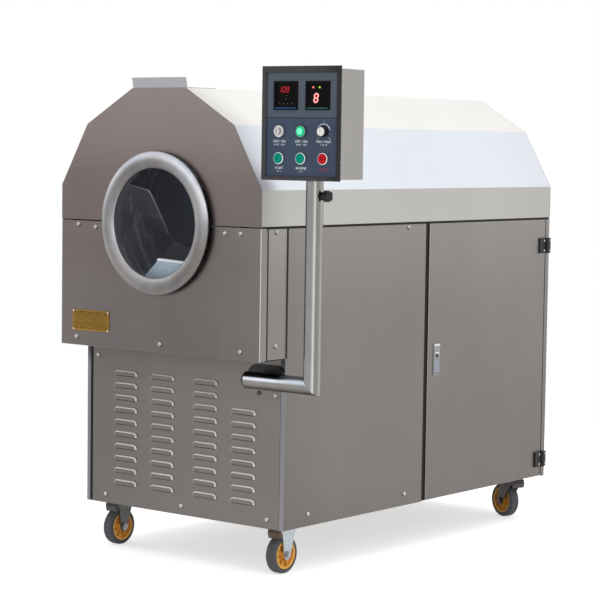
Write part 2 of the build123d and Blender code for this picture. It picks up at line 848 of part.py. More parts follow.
def chain_band(offset, y):
    """The space inside a loop about both sprockets, offset from the pitch line."""
    pitch = [chain_pitch / (2 * math.sin(math.pi / n)) for n in (drum_teeth, motor_teeth)]
    reach = axis_z - motor_axis_z
    lean = math.asin((pitch[0] - pitch[1]) / reach)
    side = (math.cos(lean), -math.sin(lean))
    ends = [(axis_z, pitch[0] + offset), (motor_axis_z, pitch[1] + offset)]
    right = [(r * side[0], z + r * side[1]) for z, r in ends]
    left = [(-x, z) for x, z in reversed(right)]
    return prism_y([*right, *left], y) + [rod_y(0, y, z, r) for z, r in ends]


def make_chain():
    near = tooth_w / 2 + slip_gap
    loops = []
    for start in (chain_y - near - chain_plate_t, chain_y + near):
        y = (start, start + chain_plate_t)
        loops.append(chain_band(chain_plate_half, y) - chain_band(-chain_plate_half, y))
    save("drive_chain", *loops)


# Rollers and their brackets under the drum track
def make_rollers():
    brackets = []
    half = track_w / 2
    beam_y = (track_y - tube / 2, track_y + tube / 2)
    for name, x in (("left", -roller_x), ("right", roller_x)):
        width = (track_y - half, track_y + half)
        roller = ring_y_axis(x, width, roller_z, roller_r, roller_pin_r + run_gap)
        save(f"support_roller_{name}", roller)
        foot_x = (x - bracket_foot_half, x + bracket_foot_half)
        base = block(foot_x, beam_y, (beam_top, beam_top + bracket_t))
        pin = rod_y(x, (beam_y[0] - roller_pin_over, beam_y[1] + roller_pin_over), roller_z, roller_pin_r)
        cheek_top = roller_z + bracket_top_half
        low = [(x - bracket_low_half, beam_top), (x + bracket_low_half, beam_top)]
        high = [(x + bracket_top_half, cheek_top), (x - bracket_top_half, cheek_top)]
        for y in ((beam_y[0], width[0] - bracket_side_gap), (width[1] + bracket_side_gap, beam_y[1])):
            base = base + prism_y([*low, *high], y)
        brackets.append(base + pin)
    save("roller_brackets", *brackets)


# Insulated jacket and heating rods round the drum
def make_jacket():
    y = (track_y + tube, drum_rear - jacket_rear_gap)
    inner_y = (y[0] + jacket_end_t, y[1] - jacket_end_t)
    wool_r = jacket_r - jacket_skin
    skin = ring_y_axis(0, y, axis_z, jacket_r, wool_r)
    lug_x = (jacket_r - lug_sunk, post_in + lug_on_rail)
    for share in lug_shares:
        middle = y[0] + share * (y[1] - y[0])
        lug = block(lug_x, (middle - lug_half, middle + lug_half), (split_low, split_low + lug_t))
        skin = skin + both_sides(lug)
    wool = ring_y_axis(0, inner_y, axis_z, wool_r - seat_gap, drum_r + heater_space)
    spans = ((y[0], inner_y[0]), (inner_y[1], y[1]))
    ends = [ring_y_axis(0, span, axis_z, wool_r - seat_gap, drum_r + jacket_end_gap) for span in spans]
    save("insulation_jacket", skin, wool, *ends)
    rods = []
    for k in range(heater_count):
        angle = math.radians(heater_first + k * heater_spread / (heater_count - 1))
        reach = drum_r + heater_space / 2
        rods.append(rod_y(reach * math.cos(angle), inner_y, axis_z + reach * math.sin(angle), heater_r))
    save("heating_rods", *rods)


# Power module on the floor pan behind the louvres
def make_power_module():
    x = (-post_in + module_left_gap, module_right)
    front = frame_front + tube + module_front_gap
    y = (front, front + module_depth)
    top = pan_top + module_h
    inner_x = (x[0] + sheet, x[1] - sheet)
    body = block(x, y, (pan_top, top))
    body = body - block(inner_x, (y[0] + sheet, y[1] - sheet), (pan_top - 1, top - sheet))
    fin_starts = [x[0] + module_fin_inset + module_fin_pitch * k for k in range(module_fin_count)]
    fin_y = (front - module_fin_h, front + sheet)
    fin_z = (pan_top + module_fin_end, top - module_fin_end)
    fins = [block((start, start + module_fin_t), fin_y, fin_z) for start in fin_starts]
    lid = block((x[0] - module_lid, x[1] + module_lid), (y[0], y[1] + module_lid), (top, top + module_lid))
    save("power_module", body + fins + lid)


# Control arm: a mitred tube with a stub into the cabinet, its flange and its end cap
def make_arm():
    mitre = Plane(origin=(post_x, arm_y, arm_z), z_dir=(1, 0, 1))
    inner_r = arm_r - arm_wall
    x = stub_x
    stub_y = (arm_y, arm_y + stub_in)
    level_x = (arm_left, post_x + arm_r)
    level = rod_x(level_x, arm_y, arm_z, arm_r) - rod_x(level_x, arm_y, arm_z, inner_r)
    level = level - rod_y(x, stub_y, arm_z, stub_r - arm_wall)
    level = split(level, bisect_by=mitre, keep=Keep.BOTTOM)
    post_z = (arm_z - arm_r, box_z + box_foot_inset - box_lift)
    upright = rod_z(post_x, arm_y, post_z, arm_r) - rod_z(post_x, arm_y, post_z, inner_r)
    upright = upright - rod_x((post_x, post_x + 2 * arm_r), arm_y, knob_z, knob_stem_r + run_gap)
    upright = split(upright, bisect_by=mitre, keep=Keep.TOP)
    stub = rod_y(x, stub_y, arm_z, stub_r) - rod_y(x, stub_y, arm_z, stub_r - arm_wall)
    stub = stub - rod_x(level_x, arm_y, arm_z, arm_r)
    plate_y = (frame_front, frame_front + stub_plate_t)
    plate = block((x - stub_plate_half, post_in), plate_y, (arm_z - stub_plate_half, arm_z + stub_plate_half))
    plate = plate - rod_y(x, (front_y, plate_y[1] + 1), arm_z, stub_r + seat_gap)
    save("arm_tube", level, upright, stub, plate)
    flange_at = Pos(x + flange_shift[0], front_y, arm_z + flange_shift[1])
    flange = flange_at * extrude(Plane.XZ * SlotOverall(flange_w, flange_h), flange_t)
    flange = flange - rod_y(x, (front_y - flange_t - 1, front_y + 1), arm_z, stub_r + slip_gap)
    plug = rod_x((arm_left, arm_left + end_plug), arm_y, arm_z, inner_r - seat_gap)
    cap = rod_x((arm_left - end_cap_t, arm_left), arm_y, arm_z, arm_r)
    cap = fillet(cap.edges().sort_by(Axis.X)[0], end_cap_round)
    save("arm_rubbers", flange, cap + plug)


def make_clamp_knob():
    """A screw knob with a flange on the post, a neck and a head with finger dents."""
    start = post_x + arm_r + slip_gap
    neck_end = start + knob_flange_t + knob_neck_l
    end = neck_end + knob_head_l
    knob = rod_x((start - arm_wall, end - 1), arm_y, knob_z, knob_stem_r)
    knob = knob + rod_x((start, start + knob_flange_t), arm_y, knob_z, knob_flange_r)
    knob = knob + rod_x((start, neck_end + 1), arm_y, knob_z, knob_neck_r)
    head = rod_x((neck_end, end), arm_y, knob_z, knob_head_r)
    reach = 1.25 * knob_head_r
    for k in range(knob_dents):
        angle = math.radians(360 / knob_dents * k)
        dent = (arm_y + reach * math.cos(angle), knob_z + reach * math.sin(angle))
        head = head - rod_x((neck_end - 1, end + 1), dent[0], dent[1], 0.4 * knob_head_r)
    save("clamp_knob", knob + head)


# Control box, built facing -Y about the post axis and then turned on it
def at_box(solid):
    return Pos(post_x, arm_y, box_z) * Rot(0, 0, box_turn) * solid


def make_control_box():
    frame_x = (-box_w / 2, box_w / 2)
    rear = -box_front + box_d
    shell_x = (frame_x[0] + box_side_inset, frame_x[1] - box_side_inset)
    shell_z = (box_foot_inset, box_h - box_head_inset)
    shell = block(shell_x, (fascia_y, rear), shell_z)
    shell = soften(shell, bend_r, Axis.Z, lambda c: c.Y > rear - 0.1)
    inner_x = (shell_x[0] + sheet, shell_x[1] - sheet)
    inner_z = (shell_z[0] + sheet, shell_z[1] - sheet)
    shell = shell - block(inner_x, (fascia_y - 1, rear - sheet), inner_z)
    spigot_r = arm_r - arm_wall - run_gap
    shell = shell - rod_z(0, 0, (shell_z[0] - 1, inner_z[0] + 1), spigot_r - arm_wall)
    spigot_z = (-spigot_in, shell_z[0])
    spigot = rod_z(0, 0, spigot_z, spigot_r) - rod_z(0, 0, spigot_z, spigot_r - arm_wall)
    save("control_box", at_box(shell), at_box(spigot))
    ring = block(frame_x, (-box_front, fascia_y), (0, box_h))
    ring = fillet(ring.faces().sort_by(Axis.Y)[0].edges(), bend_r)
    window_x = (frame_x[0] + box_frame_side, frame_x[1] - box_frame_side)
    window_z = (box_frame_foot, box_h - box_frame_top)
    ring = ring - block(window_x, (-box_front - 1, fascia_y + 1), window_z)
    ring = chamfer(ring.faces().sort_by(Axis.Y)[0].inner_wires()[0].edges(), box_frame_bevel)
    save("control_frame", at_box(ring))
    fascia_x = (inner_x[0] + slip_gap, inner_x[1] - slip_gap)
    fascia_z = (inner_z[0] + slip_gap, inner_z[1] - slip_gap)
    fascia = block(fascia_x, (fascia_y, fascia_y + fascia_t), fascia_z)
    through = (fascia_y - 1, fascia_y + fascia_t + 1)
    half = meter_body / 2 + slip_gap
    for u in (-meter_u, meter_u):
        fascia = fascia - block((u - half, u + half), through, (meter_v - half, meter_v + half))
    for u, v in switch_places.values():
        fascia = fascia - rod_y(u, through, v, barrel_r + seat_gap)
    save("control_fascia", at_box(fascia))


def make_meters():
    meters = []
    for u in (-meter_u, meter_u):
        half = meter_size / 2
        front = fascia_y - meter_proud
        bezel = block((u - half, u + half), (front, fascia_y), (meter_v - half, meter_v + half))
        bezel = fillet(bezel.faces().sort_by(Axis.Y)[0].edges(), meter_round)
        glass_x = (u - meter_glass_half, u + meter_glass_half)
        glass_z = (meter_v - meter_glass_low, meter_v + meter_glass_high)
        bezel = bezel - block(glass_x, (front - 1, front + meter_recess), glass_z)
        half = meter_body / 2
        body_y = (fascia_y, fascia_y + meter_depth)
        body = block((u - half, u + half), body_y, (meter_v - half, meter_v + half))
        meters.append(at_box(bezel + body))
    save("display_meters", *meters)


def switch_body(u, v, rim_r, bore_r):
    """A bezel in front of the fascia with its barrel and contact block behind."""
    front = fascia_y - bezel_proud
    bezel = rod_y(u, (front, fascia_y), v, rim_r)
    bezel = fillet(bezel.edges().sort_by(Axis.Y)[0], bezel_round)
    end = fascia_y + barrel_length
    barrel = rod_y(u, (fascia_y, end), v, barrel_r)
    across, along = contact_half
    contacts = block((u - across, u + across), (fascia_y + contact_start, end), (v - along, v + along))
    return bezel + barrel + contacts - rod_y(u, (front - 1, fascia_y + switch_bore), v, bore_r + slip_gap)


def make_switches():
    bodies = []
    cap_r = min(button_r, barrel_r - barrel_wall)
    for name, (u, v) in switch_places.items():
        bore = {"key": key_core_r, "power": knob_stem_r}.get(name, cap_r)
        rim = power_bezel_r if name == "power" else bezel_r
        bodies.append(at_box(switch_body(u, v, rim, bore)))
    save("switch_bezels", *bodies)
    for name in ("heat", "start", "reverse", "stop"):
        u, v = switch_places[name]
        front = fascia_y - bezel_proud - button_proud
        cap = rod_y(u, (front, fascia_y + switch_bore - button_travel - slip_gap), v, cap_r)
        cap = fillet(cap.edges().sort_by(Axis.Y)[0], cap_round)
        save(f"{name}_button", at_box(cap))
    stem_end = fascia_y + switch_bore - stem_gap
    u, v = switch_places["key"]
    front = fascia_y - bezel_proud - key_proud
    core = rod_y(u, (front, stem_end), v, key_core_r)
    core = fillet(core.edges().sort_by(Axis.Y)[0], cap_round)
    across, deep, along = key_slot
    core = core - block((u - across, u + across), (front - 1, front + deep), (v - along, v + along))
    save("key_switch", at_box(core))
    u, v = switch_places["power"]
    front = fascia_y - bezel_proud - knob_proud
    back = fascia_y - bezel_proud - slip_gap
    grip = rod_y(u, (front, back), v, knob_r)
    grip = fillet(grip.edges().sort_by(Axis.Y)[0], cap_round)
    groove = Pos(knob_r, 0, 0) * Box(rib_size, back - front - 2 * rib_end, rib_size)
    middle = Pos(u, (front + back) / 2, v)
    ribs = [middle * Rot(0, 360 / knob_ribs * k, 0) * groove for k in range(knob_ribs)]
    mark = block((u - mark_half, u + mark_half), (front - 1, front + 1), (v + mark_start, v + knob_r))
    stem = rod_y(u, (back, stem_end), v, knob_stem_r)
    save("power_knob", at_box(grip - ribs - mark + stem))


# Door with its hinges and lock
def make_door():
    z = (caster_h + door_play, split_low)
    panel = folded_side((door_front, door_rear), z, door_return)
    cut_y = (lock_y - lock_w / 2 + lock_neck_y, lock_y + lock_w / 2 - lock_neck_y)
    cut_z = (lock_z - lock_h / 2 + lock_neck_z, lock_z + lock_h / 2 - lock_neck_z)
    panel = panel - block((half_w - 2 * sheet, half_w + 1), cut_y, cut_z)
    save("door_panel", panel)


def make_hinges():
    door_leaves = []
    cabinet_leaves = []
    plate_x = (half_w, half_w + hinge_t)
    free = knuckle_r + knuckle_room
    third = hinge_h / 6
    for z in hinge_levels:
        full = (z - hinge_h / 2, z + hinge_h / 2)
        middle = (z - third, z + third)
        leaf = block(plate_x, (hinge_y - hinge_reach, hinge_y - free), full)
        leaf = leaf + block(plate_x, (hinge_y - free - 1, hinge_y), middle)
        leaf = leaf + rod_z(hinge_x, hinge_y, middle, knuckle_r)
        door_leaves.append(leaf - rod_z(hinge_x, hinge_y, full, hinge_pin_r + run_gap))
        leaf = block(plate_x, (hinge_y + free, rear_y), full)
        for span in ((full[0], middle[0] - slip_gap), (middle[1] + slip_gap, full[1])):
            leaf = leaf + block(plate_x, (hinge_y, hinge_y + free + 1), span)
            leaf = leaf + rod_z(hinge_x, hinge_y, span, knuckle_r)
        cabinet_leaves.append(leaf + rod_z(hinge_x, hinge_y, full, hinge_pin_r))
    save("door_hinge_leaves", *door_leaves)
    save("cabinet_hinge_leaves", *cabinet_leaves)


def make_lock():
    z = (lock_z - lock_h / 2, lock_z + lock_h / 2)
    y = (lock_y - lock_w / 2, lock_y + lock_w / 2)
    front = half_w + lock_proud
    body = block((half_w, front), y, z)
    body = fillet(body.faces().sort_by(Axis.X)[-1].edges(), lock_round)
    neck_y = (y[0] + lock_neck_y + slip_gap, y[1] - lock_neck_y - slip_gap)
    neck_z = (z[0] + lock_neck_z + slip_gap, z[1] - lock_neck_z - slip_gap)
    body = body + block((half_w - lock_neck_in, half_w + 1), neck_y, neck_z)
    button_z = lock_z + lock_button_rise
    bore_back = front - lock_bore
    body = body - rod_x((bore_back, front + 1), lock_y, button_z, lock_button_r + slip_gap)
    pivot_z = z[0] + handle_foot
    handle_y = (lock_y - handle_w / 2, lock_y + handle_w / 2)
    room_y = (handle_y[0] - slip_gap, handle_y[1] + slip_gap)
    room_z = (pivot_z - handle_pin_r - 2 * slip_gap, pivot_z + handle_h + slip_gap)
    body = body - block((front - handle_t - handle_room, front + 1), room_y, room_z)
    save("lock_body", body)
    button_x = (bore_back + lock_button_travel + slip_gap, front + lock_button_proud)
    button = rod_x(button_x, lock_y, button_z, lock_button_r)
    save("lock_button", fillet(button.edges().sort_by(Axis.X)[-1], lock_button_proud / 1.5))
    handle = block((front - handle_t, front), handle_y, (pivot_z, pivot_z + handle_h))
    pin_at = Pos(front - (handle_t + handle_room) / 2, lock_y, pivot_z)
    save("lock_handle", handle + pin_at * Rot(90, 0, 0) * Cylinder(handle_pin_r, handle_w))


# Casters: two rigid ones in front, two swivelling ones at the rear
def make_wheel(name, place):
    tyre = Rot(0, 90, 0) * (Cylinder(wheel_r, tyre_w) - Cylinder(core_r, tyre_w))
    outer = [e for e in tyre.edges().filter_by(GeomType.CIRCLE) if e.radius > wheel_r - 0.1]
    tyre = fillet(outer, tyre_round)
    core = Cylinder(core_r - seat_gap, tyre_w - 2 * rim_inset) - Cylinder(core_r - rim_t, tyre_w)
    core = core + Cylinder(core_r - rim_t + 1, web_t) + Cylinder(hub_end_r, hub_w)
    core = Rot(0, 90, 0) * (core - Cylinder(axle_r + run_gap, hub_w + 2))
    save(name, place * tyre, place * core)


def fork_legs(top, trail_y):
    """Two legs with an axle along X between them, its centre trail_y behind the caster's axis."""
    inner = hub_w / 2 + leg_gap
    leg_x = (inner, inner + leg_t)
    upper = [(-leg_front, top), (leg_rear, top), (leg_shoulder, top - leg_shoulder_drop)]
    lower = [(trail_y + leg_end_r, wheel_r), (trail_y - leg_end_r, wheel_r)]
    leg = prism_x([*upper, *lower], leg_x) + rod_x(leg_x, trail_y, wheel_r, leg_end_r)
    axle = rod_x((-inner - axle_over, inner + axle_over), trail_y, wheel_r, axle_r)
    nut = rod_x((inner + 1, inner + nut_over), trail_y, wheel_r, nut_r)
    return axle + both_sides(leg) + both_sides(nut)


def fork_crown(top):
    """The bridge over the wheel between the legs, with a skirt and a nose at its front."""
    half = hub_w / 2 + leg_gap + leg_t
    low = 2 * wheel_r + crown_clear
    skirt = low - crown_skirt
    nose = (-crown_front - crown_nose, (skirt + top) / 2)
    under = [(leg_rear, low), (-leg_front, low), (-crown_front, skirt)]
    return prism_x([nose, (-crown_front, top), (leg_rear, top), *under], (-half, half))


def caster_plate():
    plate_z = (caster_h - leg_t, caster_h)
    plate = block((-plate_half_x, plate_half_x), (-plate_half_y, plate_half_y), plate_z)
    return soften(plate, plate_round, Axis.Z, lambda c: True)


def make_casters():
    sides = {"left": -caster_x, "right": caster_x}
    plate_low = caster_h - leg_t
    rigid = caster_plate() + fork_crown(plate_low) + fork_legs(plate_low, 0)
    save("front_caster_forks", *[Pos(x, front_caster_y, 0) * rigid for x in sides.values()])
    race_z = plate_low - race_t
    crown_z = (race_z - slip_gap - crown_disc_t, race_z - slip_gap)
    head_z = (crown_z[0] - slip_gap - kingpin_head_t, crown_z[0] - slip_gap)
    plate = caster_plate() + rod_z(0, 0, (race_z, plate_low), race_r)
    plate = plate + rod_z(0, 0, (head_z[0], race_z), kingpin_r) + rod_z(0, 0, head_z, kingpin_head_r)
    save("rear_caster_plates", *[Pos(x, rear_caster_y, 0) * plate for x in sides.values()])
    swivel = rod_z(0, 0, crown_z, crown_disc_r) + fork_crown(crown_z[1])
    swivel = swivel - rod_z(0, 0, (crown_z[0] - 1, crown_z[1] + 1), kingpin_r + run_gap)
    swivel = swivel - rod_z(0, 0, (2 * wheel_r, crown_z[0]), kingpin_head_r + slip_gap)
    swivel = swivel + fork_legs(crown_z[1], trail)
    turn = Rot(0, 0, rear_caster_turn)
    for name, x in sides.items():
        save(f"rear_{name}_fork", Pos(x, rear_caster_y, 0) * turn * swivel)
        make_wheel(f"front_{name}_wheel", Pos(x, front_caster_y, wheel_r))
        make_wheel(f"rear_{name}_wheel", Pos(x, rear_caster_y, 0) * turn * Pos(0, trail, wheel_r))


os.makedirs("parts", exist_ok=True)
make_frame()
make_front_louvre_panel()
make_side_panels()
make_rear_panel()
make_cable_gland()
make_head_panel()
make_top_cover()
make_flue_lip()
make_seals()
make_nameplate()
make_screws()
make_drum()
make_flights()
make_discharge_blade()
make_drum_drive()
make_motor()
make_chain()
make_rollers()
make_jacket()
make_power_module()
make_arm()
make_clamp_knob()
make_control_box()
make_meters()
make_switches()
make_door()
make_hinges()
make_lock()
make_casters()
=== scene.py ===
import json
import math

import bmesh
import bpy
from mathutils import Matrix, Vector


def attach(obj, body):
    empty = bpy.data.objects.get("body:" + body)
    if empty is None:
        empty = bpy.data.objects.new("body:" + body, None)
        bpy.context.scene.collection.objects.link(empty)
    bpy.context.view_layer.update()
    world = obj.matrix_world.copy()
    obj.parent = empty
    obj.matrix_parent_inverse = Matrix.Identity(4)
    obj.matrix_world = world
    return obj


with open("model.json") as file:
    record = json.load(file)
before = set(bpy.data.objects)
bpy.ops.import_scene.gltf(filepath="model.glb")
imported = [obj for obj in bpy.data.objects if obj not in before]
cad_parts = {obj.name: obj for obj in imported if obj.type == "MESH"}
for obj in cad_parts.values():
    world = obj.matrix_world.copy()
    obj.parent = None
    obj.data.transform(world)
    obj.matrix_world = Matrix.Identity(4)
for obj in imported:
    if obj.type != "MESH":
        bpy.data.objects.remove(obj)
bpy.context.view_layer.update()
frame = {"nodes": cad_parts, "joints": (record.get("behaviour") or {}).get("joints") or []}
nodes = frame["nodes"]
scene = bpy.context.scene
scene.view_settings.view_transform = "Standard"
move = Matrix.Translation


def about(angle, axis="Z"):
    """A turn about an axis."""
    return Matrix.Rotation(angle, 4, axis)


def polar(r, t):
    """The point at a distance and an angle."""
    return r * math.cos(t), r * math.sin(t)


# Sizes taken over from the solids, in metres
BOX_AT = Vector((0.4766, -0.675, 1.0243))
BOX_TURN = math.radians(5.3)
FASCIA_Y = -0.0635
METER_FRONT = -0.067
GLASS_FRONT = -0.065
BUTTON_FRONT = -0.0725
KNOB_FRONT = -0.0775
BOX_SIDE_U = 0.11
METER_U = 0.0465
METER_V = 0.207
COLUMN_U = 0.0645
UPPER_ROW_V = 0.12
LOWER_ROW_V = 0.054
PIPE_X = 0.4766
PIPE_Z = 0.513
RING_Z = 0.903
CORE_R = 0.0379
RIM_IN_R = 0.0322
HUB_R = 0.013
PLATE_X = (-0.307, -0.171)
PLATE_Z = (0.606, 0.663)
PLATE_FRONT = -0.7282
HINGE_FACE_X = 0.355
HINGE_LEVELS = (0.822, 0.1785)
CROWN_Y = -0.5795
CROWN_Z = 0.09
NUT_R = 0.0098
NUT_FOOT = 0.0205
LOCK_FRONT_X = 0.353
LOCK_Y = 0.044
PANEL_X = 0.35
# A panel screw under the arm, given painted shade
SHADED_SCREW = Vector((0.2645, -0.6265, 0.474))
CHEEK_Z = (0.569, 0.8995)
# Strips beside the head's cheeks: name, y, width, slot and look
CHEEK_STRIPS = (
    ("cheek_seams", -0.6216, 0.0078, "black_rubber", "rubber"),
    ("cheek_front_seams", -0.7, 0.0058, "black_rubber", "seam_grey"),
    # This strip takes the head return's colour, painted light
    ("cheek_returns", -0.7049, 0.0044, "casing_steel", "head_return_lit"),
    ("cheek_rear_edges", -0.6268, 0.0026, "casing_steel", "cheek"),
)
LOUVRE_FACE_Y = -0.625
LOUVRE_COLUMNS = (-0.2035, -0.0695, 0.0825, 0.214)
LOUVRE_ROWS = (10, 10, 10, 8)
LOUVRE_FOOT = 0.1885
LOUVRE_PITCH = 0.0333
LOUVRE_LIP = 0.00675
FAR_FLIGHT_X = -0.03
# Height above which the blade's rolled top edge gets a painted highlight
BLADE_HIGHLIGHT_Z = 0.79
HEAD_SIDE_X = 0.349
HEAD_RETURN_Y = -0.698
SCREW_REACH = 0.008
SWITCH_REACH = 0.022
# How far a test reaches past a surface, and how straight a flat face looks out
SKIN = 0.0003
STRAIGHT = 0.995
IN_BOX = move(BOX_AT) @ about(BOX_TURN)
# Turns a shape drawn in its own x-y plane, facing +z, to stand upright and face -y
UPRIGHT = Matrix(((1, 0, 0, 0), (0, 0, -1, 0), (0, 1, 0, 0), (0, 0, 0, 1)))


# Camera at the photograph's viewing angle, with its angles in radians and lengths in pixels of a square frame
CAMERA_AT = (3.64316, -4.68812, 1.113)
YAW, PITCH, ROLL = 0.6744, 0.0751, 0.0146
FOCAL_PX = 2069.45
FRAME_PX = 600
SENSOR = 36.0
SIGHT = 200


def make_camera():
    ahead = Vector((-math.sin(YAW) * math.cos(PITCH), math.cos(YAW) * math.cos(PITCH), -math.sin(PITCH)))
    level = Vector((math.cos(YAW), math.sin(YAW), 0))
    upright = level.cross(ahead)
    right = math.cos(ROLL) * level + math.sin(ROLL) * upright
    up = -math.sin(ROLL) * level + math.cos(ROLL) * upright
    data = bpy.data.cameras.new("camera")
    data.sensor_fit = "HORIZONTAL"
    data.sensor_width = SENSOR
    data.lens = FOCAL_PX / FRAME_PX * SENSOR
    data.clip_end = SIGHT
    camera = bpy.data.objects.new("camera", data)
    turn = Matrix((right, up, -ahead)).transposed().to_4x4()
    camera.matrix_world = move(CAMERA_AT) @ turn
    scene.collection.objects.link(camera)
    scene.camera = camera


# The range that most of a noise lies in
CORE_OF_NOISE = (0.3, 0.7)


class Tree:
    """A material's node tree with its shader, and short ways to add nodes to it."""

    def __init__(self, name="look"):
        self.material = bpy.data.materials.new(name)
        self.material.use_nodes = True
        self.nodes = self.material.node_tree.nodes
        self.links = self.material.node_tree.links
        self.shader = self.nodes["Principled BSDF"]
        self.place = self.add("TexCoord").outputs["Object"]
        self.parts = {}

    def feed(self, socket, value):
        if isinstance(value, bpy.types.NodeSocket):
            self.links.new(value, socket)
        elif isinstance(value, (tuple, list)) and len(socket.default_value) == 4:
            socket.default_value = (*value[:3], 1.0)
        else:
            socket.default_value = value

    def add(self, kind, inputs=None, **settings):
        """A new node, by the end of its type's name."""
        node = self.nodes.new(f"ShaderNode{kind}")
        for key, value in settings.items():
            setattr(node, key, value)
        for key, value in (inputs or {}).items():
            self.feed(node.inputs[key], value)
        return node

    def along(self, axis):
        """One coordinate of the place (x, y, z) or of the surface's direction (nx, ny, nz)."""
        kind = len(axis)
        if kind not in self.parts:
            source = self.place if kind == 1 else self.add("NewGeometry").outputs["Normal"]
            self.parts[kind] = self.add("SeparateXYZ", {"Vector": source}).outputs
        return self.parts[kind][axis[-1].upper()]

    def noise(self, stretch, detail=2.0, rough=0.5, offset=(0, 0, 0)):
        """Noise with so many cells to the metre, the same along all axes or one number for each."""
        stretch = stretch if isinstance(stretch, tuple) else (stretch, stretch, stretch)
        moved = self.add("Mapping", {"Vector": self.place, "Scale": stretch, "Location": offset})
        inputs = {"Vector": moved.outputs["Vector"], "Scale": 1.0, "Detail": detail, "Roughness": rough}
        return self.add("TexNoise", inputs).outputs["Fac"]

    def span(self, value, low, high, start=0.0, end=1.0):
        """Maps a value from start..end to low..high."""
        inputs = {"Value": value, "From Min": start, "From Max": end, "To Min": low, "To Max": high}
        return self.add("MapRange", inputs).outputs["Result"]

    def uneven(self, noise, by):
        """Turns a noise into shares round 1."""
        return self.span(noise, 1 - by, 1 + by, *CORE_OF_NOISE)

    def math(self, a, b, operation="MULTIPLY"):
        return self.add("Math", {0: a, 1: b}, operation=operation).outputs["Value"]

    def tint(self, colour, share):
        """A colour made lighter or darker by a share round 1."""
        return self.add("VectorMath", {0: colour, "Scale": share}, operation="SCALE").outputs["Vector"]

    def times(self, a, b):
        """Two colours multiplied."""
        return self.add("VectorMath", {0: a, 1: b}, operation="MULTIPLY").outputs["Vector"]

    def mix(self, share, a, b):
        node = self.add("Mix", data_type="RGBA")
        sockets = [s for s in node.inputs if s.enabled]
        for socket, value in zip(sockets, (share, a, b)):
            self.feed(socket, value)
        return next(s for s in node.outputs if s.enabled)

    def ramp(self, value, stops):
        """A colour by a value, from (value, colour) stops; a plain number is a grey."""
        low, high = stops[0][0], stops[-1][0]
        node = self.add("ValToRGB", {"Fac": self.span(value, 0.0, 1.0, low, high)})
        points = node.color_ramp.elements
        while len(points) < len(stops):
            points.new(1.0)
        for point, (at, colour) in zip(points, stops):
            point.position = (at - low) / (high - low)
            point.color = (*colour, 1.0) if isinstance(colour, tuple) else (colour, colour, colour, 1.0)
        return node.outputs["Color"]

    def toned(self, colour):
        """A plain colour as it is, or a colour that changes along an axis, from (axis, stops)."""
        return self.ramp(self.along(colour[0]), colour[1]) if isinstance(colour[0], str) else colour

    def bump(self, height, strength, distance):
        node = self.add("Bump", {"Height": height, "Strength": strength, "Distance": distance})
        self.links.new(node.outputs["Normal"], self.shader.inputs["Normal"])

    def finish(self, colour, roughness, **settings):
        self.feed(self.shader.inputs["Base Color"], colour)
        self.feed(self.shader.inputs["Roughness"], roughness)
        for key, value in settings.items():
            self.shader.inputs[key.replace("_", " ")].default_value = value
        return self.material


# Cells to the metre of brushing along each axis
GRAIN = {"X": (3, 150, 150), "Y": (150, 3, 150), "Z": (150, 150, 3)}
# Scuffs fade out between these places along the drum
SCUFF_Y = (-0.6, -0.49)


def steel(
    colour, rough=0.34, grain="Z", streak=0.06, mottle=0.05, fades=(), warm=0, bend=0, cast=None, scuff=0
):
    """Brushed steel: streaks along one axis, slow clouds, and a colour that may change along an axis.

    The colour is one colour or (axis, stops) of painted light and shade. Each fade is (axis, stops of shares
    round 1) of painted light and shade. Warm is how far slow clouds turn the colour between brown and
    grey-green.
    Bend is how much painted highlight brightens its upright bends. Cast is (axis, stops of colours to
    multiply by), a painted tint of light. Scuff is how much brighter the worn streaks behind the drum's mouth
    are.
    """
    tree = Tree()
    fine = tree.noise(GRAIN[grain], 3.0, 0.6)
    slow = tree.noise((2.6, 2.6, 2.1), 3.0, 0.55, (3.1, 0.7, 5.3))
    base = tree.toned(colour)
    if cast:
        base = tree.times(tree.toned(cast), base)
    if warm:
        cloud = tree.span(tree.noise((3.4, 3.4, 2.2), 2.0, 0.5, (8.2, 1.1, 0.4)), 0.0, 1.0, 0.38, 0.62)
        brown = (1 + warm, 1 - warm / 2, 1 - warm / 2)
        green = (1 - warm, 1 + warm / 2, 1 + warm / 3)
        base = tree.times(tree.mix(cloud, brown, green), base)
    streaks = tree.span(fine, 1 - streak, 1 + streak)
    share = tree.math(streaks, tree.uneven(slow, mottle))
    for fade in fades:
        share = tree.math(share, tree.toned(fade))
    # Painted highlight on upright bends, where the surface faces between x and y
    if bend:
        fold = tree.math(tree.math(tree.along("nx"), tree.along("ny")), 0.0, "ABSOLUTE")
        share = tree.math(share, tree.span(fold, 1.0, 1.0 + bend, 0.05, 0.4))
    if scuff:
        worn = tree.span(tree.noise((9, 38, 9), 5.0, 0.65, (0.4, 2.3, 1.7)), 0.0, scuff, 0.52, 0.68)
        worn = tree.math(worn, tree.span(tree.along("y"), 1.0, 0.0, *SCUFF_Y))
        share = tree.math(share, tree.math(worn, 1.0, "ADD"))
    tree.bump(fine, 0.05, 0.0004)
    return tree.finish(tree.tint(base, share), tree.span(fine, rough - 0.06, rough + 0.06), Metallic=1.0)


def plain_metal(colour, rough, wear=0.08, scale=60.0):
    """Cast, turned or plated metal with a fine uneven finish."""
    tree = Tree()
    grain = tree.noise(scale * 6, 2.0)
    slow = tree.noise(scale, 3.0)
    tree.bump(grain, 0.04, 0.0003)
    share = tree.uneven(slow, wear)
    return tree.finish(tree.tint(colour, share), tree.span(grain, rough - 0.05, rough + 0.07), Metallic=1.0)


